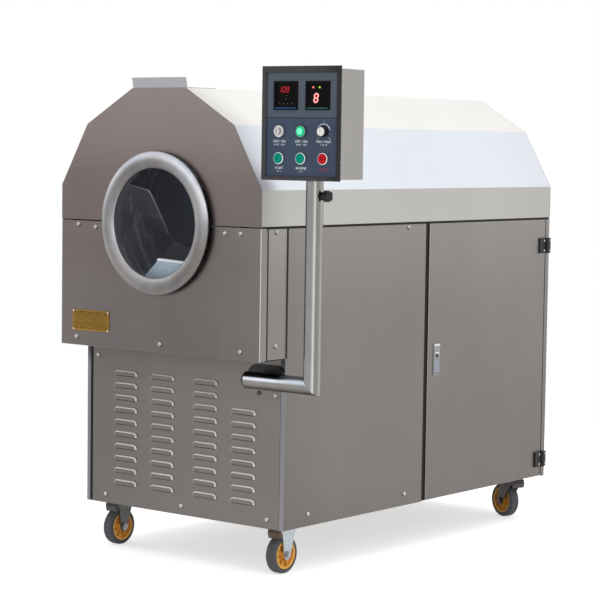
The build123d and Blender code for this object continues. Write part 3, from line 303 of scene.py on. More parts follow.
def coated(colour, rough, speckle=0.1, scale=700.0, relief=0.12, gloss=0.3):
    """Paint, plastic or rubber with a fine grain and slightly uneven colour."""
    tree = Tree()
    grain = tree.noise(scale, 2.0)
    slow = tree.noise(14, 3.0, 0.6, (1.3, 4.2, 2.7))
    base = tree.toned(colour)
    specks = tree.uneven(grain, speckle)
    share = tree.math(specks, tree.uneven(slow, 0.1))
    tree.bump(grain, relief, 0.0002)
    roughness = tree.span(slow, rough - 0.06, rough + 0.08, *CORE_OF_NOISE)
    return tree.finish(tree.tint(base, share), roughness, Specular_IOR_Level=gloss)


def lamp_face(colour, glow, strength):
    """A lit lens or digit."""
    tree = Tree()
    share = tree.uneven(tree.noise(900, 1.0), 0.06)
    settings = {"Emission_Color": (*glow, 1.0), "Emission_Strength": strength, "Specular_IOR_Level": 0.2}
    return tree.finish(tree.tint(colour, share), 0.25, **settings)


def ring_steel():
    """Satin rolled steel with painted light by its direction: painted highlights above and at its sides,
    painted shade below and behind.
    """
    tree = Tree()
    smudge = tree.noise(17, 4.0, 0.6, (2.2, 0.3, 1.9))
    fine = tree.noise(160, 2.0)
    rise = tree.math(tree.along("z"), RING_Z, "SUBTRACT")
    # Painted light by how far it faces up, from one list of stops for its upper half and one for its lower
    # half
    lower = tree.ramp(tree.along("nz"), RING_LOW_STOPS)
    below = tree.span(rise, 0.0, 1.0, RING_SPLIT, -RING_SPLIT)
    base = tree.mix(below, tree.ramp(tree.along("nz"), RING_STOPS), lower)
    cloud = tree.span(tree.noise(13, 2.0, 0.5, (5.2, 2.4, 0.6)), 0.0, 1.0, 0.36, 0.64)
    base = tree.times(tree.mix(cloud, RING_WARM, RING_COOL), base)
    share = tree.math(tree.span(smudge, 0.86, 1.14, 0.32, 0.68), tree.span(fine, 0.97, 1.03))
    # Painted shade where it faces behind
    share = tree.math(share, tree.span(tree.along("ny"), 1.0, 0.85, -0.1, 0.35))
    # Where it faces sideways, painted light and shade differ between its two sides and between its quarters
    level = tree.span(tree.math(tree.along("nz"), 0.0, "ABSOLUTE"), 1.0, 0.0, 0.12, 0.4)
    sides = tree.mix(level, (1, 1, 1), tree.ramp(tree.along("nx"), RING_SIDE_STOPS))
    share = tree.math(share, sides)
    quarter = tree.math(tree.along("x"), rise)
    balance = tree.mix(level, (1, 1, 1), tree.ramp(quarter, RING_QUARTER_STOPS))
    share = tree.math(share, balance)
    # Painted highlight on the inner edge of its left and right sides
    inward = tree.math(tree.along("nx"), tree.along("x"))
    share = tree.math(share, tree.span(inward, 1.45, 1.0, -0.11, -0.04))
    tree.bump(fine, 0.03, 0.0003)
    return tree.finish(tree.tint(base, share), tree.span(smudge, 0.36, 0.5, *CORE_OF_NOISE), Metallic=1.0)


def pipe_steel(direction, stops, beyond=None):
    """Polished tube with painted long reflections, by how far its surface faces one fixed direction.

    Beyond is (x where a second list of stops starts, x where it has taken over, the stops).
    """
    tree = Tree()
    normal = tree.add("NewGeometry").outputs["Normal"]
    turned = tree.add("VectorMath", {0: normal, 1: direction}, operation="DOT_PRODUCT")
    facing = turned.outputs["Value"]
    smudge = tree.noise((30, 30, 12), 3.0, 0.6)
    fine = tree.noise((500, 500, 40), 2.0)
    share = tree.math(tree.uneven(smudge, 0.08), tree.span(fine, 0.97, 1.03))
    tree.bump(fine, 0.015, 0.0002)
    base = tree.ramp(facing, stops)
    if beyond:
        start, end, later = beyond
        base = tree.mix(tree.span(tree.along("x"), 0.0, 1.0, start, end), base, tree.ramp(facing, later))
    return tree.finish(tree.tint(base, share), tree.span(smudge, 0.16, 0.26, *CORE_OF_NOISE), Metallic=1.0)


# Colours by place or direction, in the unit of the axis that the look names
# Painted light on the front plate, darker towards the bottom and lighter towards the top
FRONT_STOPS = [
    (0.9, (0.178, 0.147, 0.141)), (1.02, (0.187, 0.154, 0.148)), (1.12, (0.235, 0.202, 0.193)),
    (1.26, (0.262, 0.229, 0.219)),
]
# Painted light and reflection on the head panel, changing from left to right
HEAD_STOPS = [
    (-0.35, (0.176, 0.151, 0.145)), (-0.15, (0.16, 0.147, 0.142)), (0.2, (0.17, 0.152, 0.144)),
    (0.35, (0.192, 0.18, 0.172)),
]
# A painted tint of light on the head panel, lighter and warmer towards the top
HEAD_CAST = [
    (0.57, (0.95, 0.98, 0.99)), (0.72, (0.98, 1.0, 1.0)), (0.8, (1.02, 0.99, 0.99)),
    (0.89, (1.1, 1.05, 1.04)),
]
# Painted light on the louvre panel, a little lighter towards the right
LOUVRE_STOPS = [(-0.33, (0.178, 0.162, 0.152)), (0.34, (0.2, 0.184, 0.173))]
# Painted light on the side panels, darker towards the bottom and lighter towards the top
SIDE_STOPS = [
    (0.12, (0.165, 0.151, 0.141)), (0.45, (0.222, 0.207, 0.195)), (0.7, (0.252, 0.233, 0.22)),
    (0.89, (0.296, 0.276, 0.262)),
]
# Painted light on the cheeks, lighter towards the top
CHEEK_STOPS = [
    (0.57, (0.258, 0.24, 0.227)), (0.7, (0.27, 0.25, 0.237)), (0.89, (0.34, 0.318, 0.302)),
]
# Painted highlight on the upper sides of the screw heads, painted shade on their lower sides
SCREW_STOPS = [(-0.9, 0.04), (-0.3, 0.12), (0.0, 0.42), (0.22, 0.86), (0.8, 0.95)]
# Painted light on the top cover by how far a face points up: grey on the upright band, pale on the sloping
# facets
COVER_STOPS = [
    (0.0, (0.52, 0.508, 0.49)), (0.3, (0.54, 0.53, 0.51)), (0.45, (0.81, 0.845, 0.905)),
    (0.6, (0.81, 0.845, 0.905)), (0.8, (0.94, 0.92, 0.895)), (0.92, (0.94, 0.92, 0.895)),
    (1.0, (0.8, 0.79, 0.775)),
]
# Painted reflections on the upright tube, in stripes round it
POST_STOPS = [
    (-1.0, (0.12, 0.11, 0.1)), (-0.86, (0.25, 0.245, 0.24)), (-0.55, (0.285, 0.285, 0.292)),
    (-0.28, (0.27, 0.265, 0.26)), (-0.1, (0.37, 0.36, 0.345)), (0.03, (0.68, 0.665, 0.64)),
    (0.1, (0.62, 0.605, 0.58)), (0.24, (0.245, 0.24, 0.23)), (0.5, (0.24, 0.236, 0.23)),
    (0.64, (0.3, 0.29, 0.28)), (0.8, (0.43, 0.42, 0.405)), (0.93, (0.27, 0.26, 0.25)),
    (1.0, (0.13, 0.12, 0.115)),
]
# Painted reflections on the arm, in stripes round it: dark along its top under the head, a bright band below
ARM_STOPS = [
    (-1.0, (0.12, 0.115, 0.11)), (-0.67, (0.09, 0.087, 0.082)), (-0.4, (0.18, 0.172, 0.166)),
    (-0.1, (0.24, 0.23, 0.222)), (0.06, (0.33, 0.325, 0.32)), (0.15, (0.66, 0.69, 0.73)),
    (0.3, (0.84, 0.88, 0.94)), (0.42, (0.62, 0.66, 0.72)), (0.52, (0.1, 0.105, 0.115)),
    (0.62, (0.022, 0.022, 0.025)), (1.0, (0.016, 0.016, 0.018)),
]
# Painted reflections on the arm's end beyond the head, pale along its top
ARM_END_STOPS = [
    (-1.0, (0.12, 0.115, 0.11)), (-0.67, (0.09, 0.087, 0.082)), (-0.4, (0.17, 0.16, 0.15)),
    (-0.1, (0.23, 0.218, 0.205)), (0.1, (0.34, 0.345, 0.355)), (0.25, (0.56, 0.6, 0.66)),
    (0.42, (0.62, 0.68, 0.76)), (0.6, (0.36, 0.4, 0.46)), (1.0, (0.24, 0.26, 0.3)),
]
FASCIA_STOPS = [
    (1.024, (0.0445, 0.065, 0.108)), (1.172, (0.0465, 0.069, 0.114)), (1.18, (0.078, 0.1, 0.134)),
    (1.303, (0.082, 0.105, 0.138)),
]
# Painted light on the ring's upper half, by how far it faces up
RING_STOPS = [
    (-0.9, (0.05, 0.048, 0.048)), (-0.64, (0.12, 0.116, 0.116)), (-0.36, (0.185, 0.18, 0.182)),
    (-0.1, (0.225, 0.22, 0.225)), (0.0, (0.29, 0.285, 0.295)), (0.1, (0.45, 0.46, 0.49)),
    (0.2, (0.58, 0.6, 0.65)), (0.32, (0.58, 0.6, 0.66)), (0.6, (0.56, 0.58, 0.64)),
    (0.9, (0.46, 0.48, 0.53)),
]
# Painted light and shade on the ring's lower half, by how far it faces up
RING_LOW_STOPS = [
    (-0.9, (0.15, 0.138, 0.132)), (-0.22, (0.2, 0.187, 0.181)), (0.0, (0.24, 0.23, 0.226)),
    (0.22, (0.325, 0.32, 0.325)), (0.36, (0.45, 0.45, 0.46)), (0.9, (0.42, 0.42, 0.43)),
]
# Painted light and shade where the ring faces sideways, by which way it faces
RING_SIDE_STOPS = [
    (-0.9, 0.5), (-0.64, 0.7), (-0.36, 1.17), (-0.22, 1.34), (-0.1, 1.18), (0.0, 0.95), (0.1, 1.05),
    (0.22, 1.2), (0.36, 1.25), (0.64, 1.25), (0.9, 1.25),
]
# Painted light on the ring's upper-right and lower-left quarters, painted shade on the other two
RING_QUARTER_STOPS = [(-0.0135, 0.8), (0.0135, 1.2)]
RING_SPLIT = 0.05
RING_WARM, RING_COOL = (1.03, 0.998, 0.965), (0.98, 1.0, 1.035)
# Painted shade on the control frame, darker towards its right side
FRAME_STOPS = [
    (0.36, (0.044, 0.041, 0.043)), (0.55, (0.04, 0.036, 0.037)), (0.575, (0.017, 0.015, 0.017)),
    (0.6, (0.013, 0.012, 0.014)),
]
# Shares of brightness along an axis, all painted light and shade
# Painted highlight along the front plate's left and right edges
FRONT_FADE = ("x", [(-0.35, 1.05), (-0.31, 0.98), (0.0, 1.0), (0.35, 1.02)])
# Painted shade on the louvre panel towards the bottom and under the head
LOUVRE_FADE = ("z", [(0.12, 0.85), (0.27, 0.91), (0.44, 0.99), (0.52, 0.89), (0.57, 0.74)])
# Painted shade towards the side panels' front, a little lighter towards the rear
SIDE_FADE = ("y", [(-0.62, 0.9), (-0.42, 1.0), (0.0, 1.0), (0.62, 1.04)])
# Painted shadow on the side panels' front folds under the head
FOLD_FADE = ("z", [(0.12, 1.0), (0.5, 1.0), (0.54, 0.4), (0.57, 0.12)])
# Painted shade on the cover near its front and rear ends
COVER_FADE = ("y", [(-0.73, 0.78), (-0.62, 1.0), (-0.5, 1.02), (0.3, 1.0), (0.63, 0.94)])
# Painted shade on the cover's left half
COVER_LEFT_FADE = ("x", [(-0.05, 0.88), (0.05, 1.0)])
# Painted light inside the drum, brighter deeper in
DRUM_FADE = ("y", [(-0.6, 1.1), (-0.35, 1.45)])
# Painted shade on the flights, darker deeper in the drum
FLIGHT_FADE = ("y", [(-0.64, 1.0), (-0.55, 0.5)])
looks = {
    "front_plate": steel(("z", FRONT_STOPS), 0.36, "X", warm=0.03, fades=[FRONT_FADE]),
    "head_panel": steel(
        ("x", HEAD_STOPS), 0.36, streak=0.08, mottle=0.12, warm=0.03, cast=("z", HEAD_CAST)
    ),
    # Painted light: the head panel's steel as lit where its return faces sideways
    "head_return_lit": steel((0.285, 0.27, 0.262)),
    # Painted highlight on the head panel's bend
    "head_bend_highlight": steel((0.66, 0.64, 0.63), 0.28),
    "louvre_panel": steel(("x", LOUVRE_STOPS), 0.34, "X", fades=[LOUVRE_FADE]),
    # Painted highlights on the louvres' tops and left ends, and brighter on their right ends
    "louvre_highlight": coated((0.84, 0.84, 0.85), 0.4, 0.05),
    "louvre_right_end_highlight": coated((0.94, 0.94, 0.94), 0.35, 0.05),
    # Side panels: painted light by height and along their length, and painted highlight on their bends
    "side_panel": steel(("z", SIDE_STOPS), 0.36, fades=[SIDE_FADE], bend=0.5),
    # Cheeks: painted light by height and painted highlight on their bends
    "cheek": steel(("z", CHEEK_STOPS), 0.36, bend=0.4),
    # The side panels' front folds: painted shade, with a painted shadow under the head
    "side_fold_shaded": steel((0.212, 0.212, 0.232), 0.3, fades=[FOLD_FADE]),
    # Top cover with painted light by facing and painted shade at its ends and left half
    "cover": steel(
        ("nz", COVER_STOPS), 0.38, "Y", streak=0.025, mottle=0.025, fades=[COVER_FADE, COVER_LEFT_FADE]
    ),
    "lip": steel((0.4, 0.4, 0.42), 0.36, "X"),
    "ring": ring_steel(),
    "drum": steel((0.55, 0.56, 0.61), 0.5, "Y", streak=0.1, mottle=0.2, scuff=1.5, fades=[DRUM_FADE]),
    "flight": steel((0.55, 0.56, 0.61), 0.5, "Y", streak=0.15, mottle=0.2, scuff=0.7, fades=[FLIGHT_FADE]),
    "flight_edge": coated((0.62, 0.64, 0.68), 0.5, 0.15),
    # Painted shade on the far flight
    "far_flight_shade": coated((0.012, 0.012, 0.014), 0.9, gloss=0.02),
    # Painted light and reflection: the blade's steel as a pale blue-grey
    "blade": coated((0.42, 0.52, 0.62), 0.35, 0.16, 240.0),
    # Painted highlight on the blade's rolled top edge
    "blade_edge_highlight": coated((0.92, 0.94, 0.96), 0.25, 0.03),
    "box_steel": steel((0.365, 0.352, 0.335), 0.36),
    "post": pipe_steel((0.785, 0.62, 0.0), POST_STOPS),
    "arm": pipe_steel((0.0, 0.0, 1.0), ARM_STOPS, (0.375, 0.415, ARM_END_STOPS)),
    "machined": plain_metal((0.36, 0.36, 0.37), 0.32),
    "zinc": plain_metal((0.44, 0.49, 0.52), 0.42, 0.12, 90.0),
    # Painted shade: shaded copies of the casters' zinc, for the left front fork, the rear forks and the
    # crowns
    "zinc_in_shade": plain_metal((0.135, 0.14, 0.13), 0.45, 0.16, 90.0),
    "zinc_in_deep_shade": plain_metal((0.095, 0.088, 0.082), 0.45, 0.16, 90.0),
    "crown_in_shade": plain_metal((0.078, 0.072, 0.07), 0.45, 0.2, 90.0),
    "crown_in_brown_shade": plain_metal((0.11, 0.082, 0.066), 0.45, 0.2, 90.0),
    # Panel screws: painted light by how far they face up
    "panel_screw": steel(("nz", SCREW_STOPS), 0.25, "X"),
    "bright_screw": plain_metal((0.62, 0.62, 0.62), 0.2),
    "lock_zinc": plain_metal((0.325, 0.338, 0.35), 0.3),
    "lock_blue": plain_metal((0.3, 0.328, 0.372), 0.3),
    # Painted light on the lock's sides that face the front
    "lock_side_lit": coated((0.3, 0.31, 0.32), 0.4, 0.06),
    "lock_dark": coated((0.055, 0.062, 0.075), 0.4, 0.08),
    # Painted highlight on the lock
    "lock_highlight": coated((0.86, 0.88, 0.9), 0.25, 0.04),
    "chrome": plain_metal((0.62, 0.62, 0.61), 0.14, 0.04),
    # Painted shadow under the louvres' lips
    "louvre_shadow": coated((0.035, 0.032, 0.03), 0.6, gloss=0.1),
    "seam_grey": coated((0.042, 0.039, 0.035), 0.6, gloss=0.1),
    "seal_grey": coated((0.16, 0.15, 0.145), 0.55, gloss=0.2),
    "brass": steel((0.262, 0.143, 0.024), 0.36, "X", streak=0.3, mottle=0.24),
    "brass_dark": steel((0.12, 0.072, 0.026), 0.4, "X", streak=0.15),
    "brass_edge": steel((0.34, 0.22, 0.075), 0.3, "X", streak=0.1),
    "frame_paint": coated((0.055, 0.057, 0.06), 0.5),
    "iron_paint": coated((0.05, 0.09, 0.07), 0.45),
    "motor_paint": coated((0.05, 0.1, 0.16), 0.4),
    "wool": coated((0.46, 0.43, 0.38), 0.9, 0.2, 260.0, 0.5, 0.1),
    "heater": plain_metal((0.12, 0.1, 0.09), 0.5),
    "rubber": coated((0.014, 0.014, 0.015), 0.6, gloss=0.2),
    "grommet": coated((0.011, 0.01, 0.01), 0.38, 0.25, 320.0, 0.3, 0.35),
    "black_plastic": coated((0.012, 0.012, 0.014), 0.4, gloss=0.25),
    "hinge_black": coated((0.022, 0.022, 0.024), 0.42, relief=0.2),
    # Control frame with painted shade towards its right side
    "frame_brown": coated(("x", FRAME_STOPS), 0.42, 0.06),
    "fascia": coated(("z", FASCIA_STOPS), 0.5, 0.05, 1400.0, 0.06, 0.25),
    "meter": coated((0.0035, 0.0035, 0.004), 0.35, 0.05, gloss=0.06),
    "glass": coated((0.003, 0.003, 0.0035), 0.15, 0.04, gloss=0.06, relief=0.02),
    "white_bezel": plain_metal((0.74, 0.74, 0.73), 0.24, 0.04),
    "dark_bezel": plain_metal((0.17, 0.165, 0.16), 0.32),
    "green": coated((0.002, 0.31, 0.215), 0.45, 0.04, gloss=0.05),
    "deep_green": coated((0.002, 0.17, 0.12), 0.45, 0.04, gloss=0.05),
    "red": coated((0.55, 0.014, 0.022), 0.45, 0.04, gloss=0.05),
    "deep_red": coated((0.36, 0.01, 0.015), 0.45, 0.04, gloss=0.05),
    "lit_green": lamp_face((0.02, 0.5, 0.24), (0.01, 0.66, 0.3), 0.27),
    "lit_core": lamp_face((0.15, 0.75, 0.45), (0.15, 0.9, 0.52), 0.5),
    "digit_red": lamp_face((0.2, 0.004, 0.01), (1.0, 0.025, 0.05), 0.38),
    "digit_glow": lamp_face((0.2, 0.0, 0.0), (1.0, 0.01, 0.015), 0.42),
    "digit_core": lamp_face((0.6, 0.25, 0.25), (1.0, 0.42, 0.38), 1.0),
    "led_red": lamp_face((0.5, 0.05, 0.05), (1.0, 0.2, 0.16), 1.1),
    "led_green": lamp_face((0.2, 0.4, 0.02), (0.42, 0.75, 0.05), 0.8),
    "led_dim": lamp_face((0.08, 0.06, 0.02), (0.35, 0.22, 0.05), 0.3),
    "strip_blue": coated((0.012, 0.05, 0.16), 0.4),
    "strip_green": coated((0.01, 0.085, 0.055), 0.4),
    "white_ink": coated((0.86, 0.89, 0.92), 0.5, 0.1, gloss=0.2),
    "red_ink": coated((0.4, 0.03, 0.05), 0.5, 0.1, gloss=0.2),
    "line_ink": coated((0.016, 0.022, 0.034), 0.5, gloss=0.2),
    "tyre": coated((0.095, 0.097, 0.108), 0.62, 0.14, gloss=0.25),
    "core": coated((0.88, 0.47, 0.085), 0.42, 0.08),
    # Painted shade: the rear wheels' cores as shaded
    "core_in_shade": coated((0.66, 0.34, 0.06), 0.42, 0.08),
    # Painted shade: the ribs darker, for the dark lines between the spokes
    "shaded_core_rib": coated((0.62, 0.27, 0.045), 0.42, 0.08),
}
for look_name, material in looks.items():
    material.name = look_name

node_looks = {
    "front_plate": "top_front_plate",
    "head_panel": "head_lower_panel",
    "louvre_panel": "front_louvre_panel",
    "side_panel": "right_side_panel left_side_panel rear_panel door_panel top_rear_plate floor_pan",
    "cheek": "head_cheeks",
    "cover": "top_cover",
    "lip": "flue_lip",
    "ring": "mouth_ring",
    "drum": "drum_shell drum_shaft",
    "flight": "drum_flights",
    "blade": "discharge_blade",
    "box_steel": "control_box",
    "post": "arm_tube",
    "machined": "support_roller_left support_roller_right drum_sprocket motor_sprocket drive_chain",
    "zinc": "front_caster_forks",
    # Painted shade on the rear casters' plates and forks
    "crown_in_shade": "rear_caster_plates",
    "zinc_in_deep_shade": "rear_left_fork rear_right_fork",
    "panel_screw": "panel_screws",
    "lock_zinc": "lock_body",
    "lock_blue": "lock_handle",
    "chrome": "key_switch",
    "brass": "nameplate",
    "frame_paint": "frame roller_brackets power_module",
    "iron_paint": "rear_bearing",
    "motor_paint": "gear_motor",
    "wool": "insulation_jacket",
    "heater": "heating_rods",
    "rubber": "rubber_seals",
    "grommet": "arm_rubbers",
    "black_plastic": "cable_gland clamp_knob power_knob",
    "lock_dark": "lock_button",
    "hinge_black": "cabinet_hinge_leaves door_hinge_leaves",
    "frame_brown": "control_frame",
    "fascia": "control_fascia",
    "meter": "display_meters",
    "white_bezel": "switch_bezels",
    "green": "start_button reverse_button",
    "red": "stop_button",
    "lit_green": "heat_button",
    "tyre": "front_left_wheel front_right_wheel rear_left_wheel rear_right_wheel",
}


def dress_nodes():
    for look, names in node_looks.items():
        for name in names.split():
            slots = nodes[name].data.materials
            slots.clear()
            slots.append(looks[look])


def paint_faces(name, look, wanted):
    """Gives a node's faces whose centre and direction pass a test another look."""
    mesh = nodes[name].data
    mesh.materials.append(looks[look])
    index = len(mesh.materials) - 1
    for face in mesh.polygons:
        if wanted(face.center, face.normal):
            face.material_index = index


def axle_of(body):
    """The middle and direction of a wheel's axle."""
    joint = next(j for j in frame["joints"] if j["child"] == body)
    return Vector(joint["pos_m"]), Vector(joint["axis"]).normalized()


SPOTS = ("front_left", "front_right", "rear_left", "rear_right")
WHEELS = {f"{spot}_wheel": f"wheel_{spot}" for spot in SPOTS}


def near_axle(body, reach):
    middle, axle = axle_of(body)

    def test(point, normal):
        out = point - middle
        return (out - axle * out.dot(axle)).length < reach

    return test


def dress_faces():
    for name, body in WHEELS.items():
        # Painted shade on the rear wheels' cores
        paint_faces(name, "core" if "front" in name else "core_in_shade", near_axle(body, CORE_R + SKIN))
    forks = "front_caster_forks"
    # Painted shade on the left front fork and on the front forks' crowns
    paint_faces(forks, "zinc_in_shade", lambda p, n: p.x < 0)
    paint_faces(forks, "crown_in_brown_shade", lambda p, n: p.x > 0 and p.y < CROWN_Y)
    paint_faces(forks, "crown_in_shade", lambda p, n: p.x < 0 and p.y < CROWN_Y and n.x > -0.5)
    for body in ("wheel_front_left", "wheel_front_right"):
        middle = axle_of(body)[0]
        close = near_axle(body, NUT_R)
        paint_faces(forks, "machined", lambda p, n: close(p, n) and abs(p.x - middle.x) > NUT_FOOT)
    # Painted shade on the rear forks' crowns
    for name in ("rear_left_fork", "rear_right_fork"):
        paint_faces(name, "crown_in_shade", lambda p, n: p.z > CROWN_Z)
    # Painted light on the head panel's side-facing return
    paint_faces("head_lower_panel", "head_return_lit", lambda p, n: p.x > HEAD_SIDE_X and p.y < HEAD_RETURN_Y)
    # Painted highlight on the head panel's bend
    paint_faces("head_lower_panel", "head_bend_highlight", lambda p, n: n.x > 0.2 and n.y < -0.2)
    proud = LOUVRE_FACE_Y - SKIN
    # Painted highlights on the louvres' tops, left ends and right ends
    paint_faces("front_louvre_panel", "louvre_highlight", lambda p, n: p.y < proud and (n.z > 0.3 or n.x < -0.4))
    paint_faces("front_louvre_panel", "louvre_right_end_highlight", lambda p, n: p.y < proud and n.x > 0.5)
    paint_faces("drum_flights", "flight_edge", lambda p, n: abs(n.y) < 0.7)
    # Painted shade on the far flight
    paint_faces("drum_flights", "far_flight_shade", lambda p, n: p.x > FAR_FLIGHT_X)
    # Painted highlight on the blade's rolled top edge
    paint_faces("discharge_blade", "blade_edge_highlight", lambda p, n: n.z > 0.2 and p.z > BLADE_HIGHLIGHT_Z)
    # Painted shade on the side panels' front folds
    for name in ("right_side_panel", "left_side_panel"):
        paint_faces(name, "side_fold_shaded", lambda p, n: n.y < -0.7)
    # Painted light on the lock's sides that face the front
    for name in ("lock_body", "lock_handle"):
        paint_faces(name, "lock_side_lit", lambda p, n: n.y < -0.5)
    # Painted shade on the screw under the arm
    paint_faces("panel_screws", "zinc_in_deep_shade", lambda p, n: (p - SHADED_SCREW).length < SCREW_REACH)
    # Painted reflections: the arm's stripes on the level tube, the post's on the upright
    paint_faces("arm_tube", "arm", lambda p, n: PIPE_X - p.x > p.z - PIPE_Z)

    def over_switch(u, v):
        def test(point, normal):
            local = IN_BOX.inverted() @ point
            return math.hypot(local.x - u, local.z - v) < SWITCH_REACH

        return test

    paint_faces("switch_bezels", "chrome", over_switch(-COLUMN_U, UPPER_ROW_V))
    paint_faces("switch_bezels", "dark_bezel", over_switch(0, UPPER_ROW_V))
    outward = IN_BOX.to_3x3() @ Vector((0, -1, 0))
    lower = ((-COLUMN_U, LOWER_ROW_V, "green"), (0, LOWER_ROW_V, "green"), (COLUMN_U, LOWER_ROW_V, "red"))
    for u, v, look in ((0, UPPER_ROW_V, "lit_green"), *lower):
        over = over_switch(u, v)
        paint_faces("switch_bezels", look, lambda p, n: over(p, n) and n.dot(outward) > STRAIGHT)
    paint_faces("switch_bezels", "black_plastic", over_switch(COLUMN_U, UPPER_ROW_V))
    paint_faces("display_meters", "glass", lambda p, n: abs((IN_BOX.inverted() @ p).y - GLASS_FRONT) < SKIN)


LETTER_DEPTH = 0.0001
# Edges of a piece that bend further than this look sharp
SHARP = math.radians(35)


class Shape:
    """Collects simple closed forms, each put in its place, into one piece."""

    def __init__(self):
        self.points = []
        self.faces = []

    def add(self, points, faces, place):
        first = len(self.points)
        self.points += [place @ Vector(p) for p in points]
        self.faces += [[first + i for i in face] for face in faces]
        return self

    def plate(self, outline, depth, chamfer, place):
        """A convex outline raised to a depth, with a chamfer round its top."""
        count = len(outline)
        inner = inset(outline, chamfer)
        points = [(x, y, 0) for x, y in outline]
        points += [(x, y, depth - chamfer) for x, y in outline]
        points += [(x, y, depth) for x, y in inner]
        faces = [list(range(count))[::-1], list(range(2 * count, 3 * count))]
        for layer in (0, count):
            for i in range(count):
                j = (i + 1) % count
                faces.append([layer + i, layer + j, layer + count + j, layer + count + i])
        return self.add(points, faces, place)

    def bar(self, size, corner, depth, chamfer, place, steps=2):
        """A plate of a width and height with round corners."""
        return self.plate(rounded(*size, corner, steps), depth, chamfer, place)

    def lathe(self, profile, steps, place):
        """A profile of (radius, height) turned round the z axis, closed where its radius is nil."""
        points = []
        rows = []
        for radius, height in profile:
            if radius == 0:
                rows.append([len(points)] * steps)
                points.append((0, 0, height))
                continue
            rows.append(list(range(len(points), len(points) + steps)))
            for k in range(steps):
                t = 2 * math.pi * k / steps
                points.append((*polar(radius, t), height))
        faces = []
        for low, high in zip(rows, rows[1:]):
            for k in range(steps):
                n = (k + 1) % steps
                corners = [low[k], low[n], high[n], high[k]]
                faces.append(list(dict.fromkeys(corners)))
        return self.add(points, faces, place)

    def letters(self, text, height, place):
        """Plain lettering, centred on its line."""
        curve = bpy.data.curves.new("label", "FONT")
        curve.body = text
        curve.size = height
        curve.align_x = "CENTER"
        curve.extrude = LETTER_DEPTH
        curve.resolution_u = 3
        label = bpy.data.objects.new("label", curve)
        scene.collection.objects.link(label)
        graph = bpy.context.evaluated_depsgraph_get()
        mesh = bpy.data.meshes.new_from_object(label.evaluated_get(graph))
        self.add([v.co for v in mesh.vertices], [list(p.vertices) for p in mesh.polygons], place)
        bpy.data.objects.remove(label)
        bpy.data.curves.remove(curve)
        bpy.data.meshes.remove(mesh)

    def make(self, name, body, slot, look):
        mesh = bpy.data.meshes.new(name)
        mesh.from_pydata(self.points, [], self.faces)
        work = bmesh.new()
        work.from_mesh(mesh)
        bmesh.ops.recalc_face_normals(work, faces=work.faces)
        work.to_mesh(mesh)
        work.free()
        mesh.shade_smooth()
        mesh.set_sharp_from_angle(angle=SHARP)
        mesh.materials.append(looks[look])
        piece = bpy.data.objects.new(name, mesh)
        scene.collection.objects.link(piece)
        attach(piece, body)


def inset(outline, by):
    """A convex outline, anticlockwise, drawn in by a distance."""
    result = []
    count = len(outline)
    for i in range(count):
        before, here, after = (Vector(outline[(i + k) % count]) for k in (-1, 0, 1))
        one = (here - before).normalized()
        two = (after - here).normalized()
        normals = (Vector((-one.y, one.x)), Vector((-two.y, two.x)))
        bisector = (normals[0] + normals[1]).normalized()
        moved = here + bisector * (by / max(bisector.dot(normals[0]), 0.3))
        result.append((moved.x, moved.y))
    return result


def rounded(w, h, r, steps):
    """A rectangle with round corners, anticlockwise about its middle."""
    outline = []
    corners = ((w / 2 - r, h / 2 - r), (r - w / 2, h / 2 - r), (r - w / 2, r - h / 2), (w / 2 - r, r - h / 2))
    for quarter, (x, y) in enumerate(corners):
        for k in range(steps + 1):
            t = math.pi / 2 * (quarter + k / steps)
            outline.append((x + r * math.cos(t), y + r * math.sin(t)))
    return outline


def on_face(u, v, y=FASCIA_Y):
    """A place on the front of the control box, facing out."""
    return IN_BOX @ move((u, y, v)) @ UPRIGHT


def at_front(x, y, z):
    """A place on an upright surface, facing the front."""
    return move((x, y, z)) @ UPRIGHT


# Depth and chamfer of printed marks
PRINT = (0.0003, 0.0001)
# Figures on the meters: bars lit in each, and their sizes and places from a meter's middle
SEGMENTS = {"0": "abcdef", "1": "bc", "8": "abcdefg"}
FIGURE_LEAN = 0.12
FIGURE_SIZE = (0.0068, 0.0132)
FIGURE_BAR = 0.0017
FIGURE_DEPTH = 0.0005
FIGURE_STEP = 0.011
FIGURE_SHIFT = 0.0055
FIGURE_RISE = 0.0147
TIMER_SIZE = (0.01, 0.0205)
TIMER_SHIFT = 0.0045
TIMER_DROP = 0.006
# The timer's two layers: name, bar width, depth and look
TIMER_LAYERS = (("timer_halo", 0.0062, 0.0003, "digit_glow"), ("timer_figure", 0.003, 0.0006, "digit_core"))


def digit(shape, figure, size, bar, depth, place):
    """A slanted seven-segment figure made of six-sided bars."""
    w, h = size
    half = bar / 2
    lean = Matrix.Identity(4)
    lean[0][1] = FIGURE_LEAN
    spots = {"a": (0, h / 2, 0, w), "g": (0, 0, 0, w), "d": (0, -h / 2, 0, w)}
    for segment, side, rise in (("b", 1, 1), ("c", 1, -1), ("e", -1, -1), ("f", -1, 1)):
        spots[segment] = (side * w / 2, rise * h / 4, 90, h / 2)
    for segment in SEGMENTS[figure]:
        x, y, turn, length = spots[segment]
        end = length / 2 - bar * 0.12
        flat = end - half
        outline = [(end, 0), (flat, half), (-flat, half), (-end, 0), (-flat, -half), (flat, -half)]
        at = lean @ move((x, y, 0)) @ about(math.radians(turn))
        shape.plate(outline, depth, depth / 4, place @ at)


# A screw head's profile, as shares of its radius
SCREW_HEAD = ((1, 0), (1, 0.18), (0.82, 0.42), (0.5, 0.55), (0.42, 0.55), (0.34, 0.2), (0, 0.2))


def screw_head(shape, radius, place):
    """A low domed head with a round socket."""
    shape.lathe([(radius * r, radius * h) for r, h in SCREW_HEAD], 18, place)


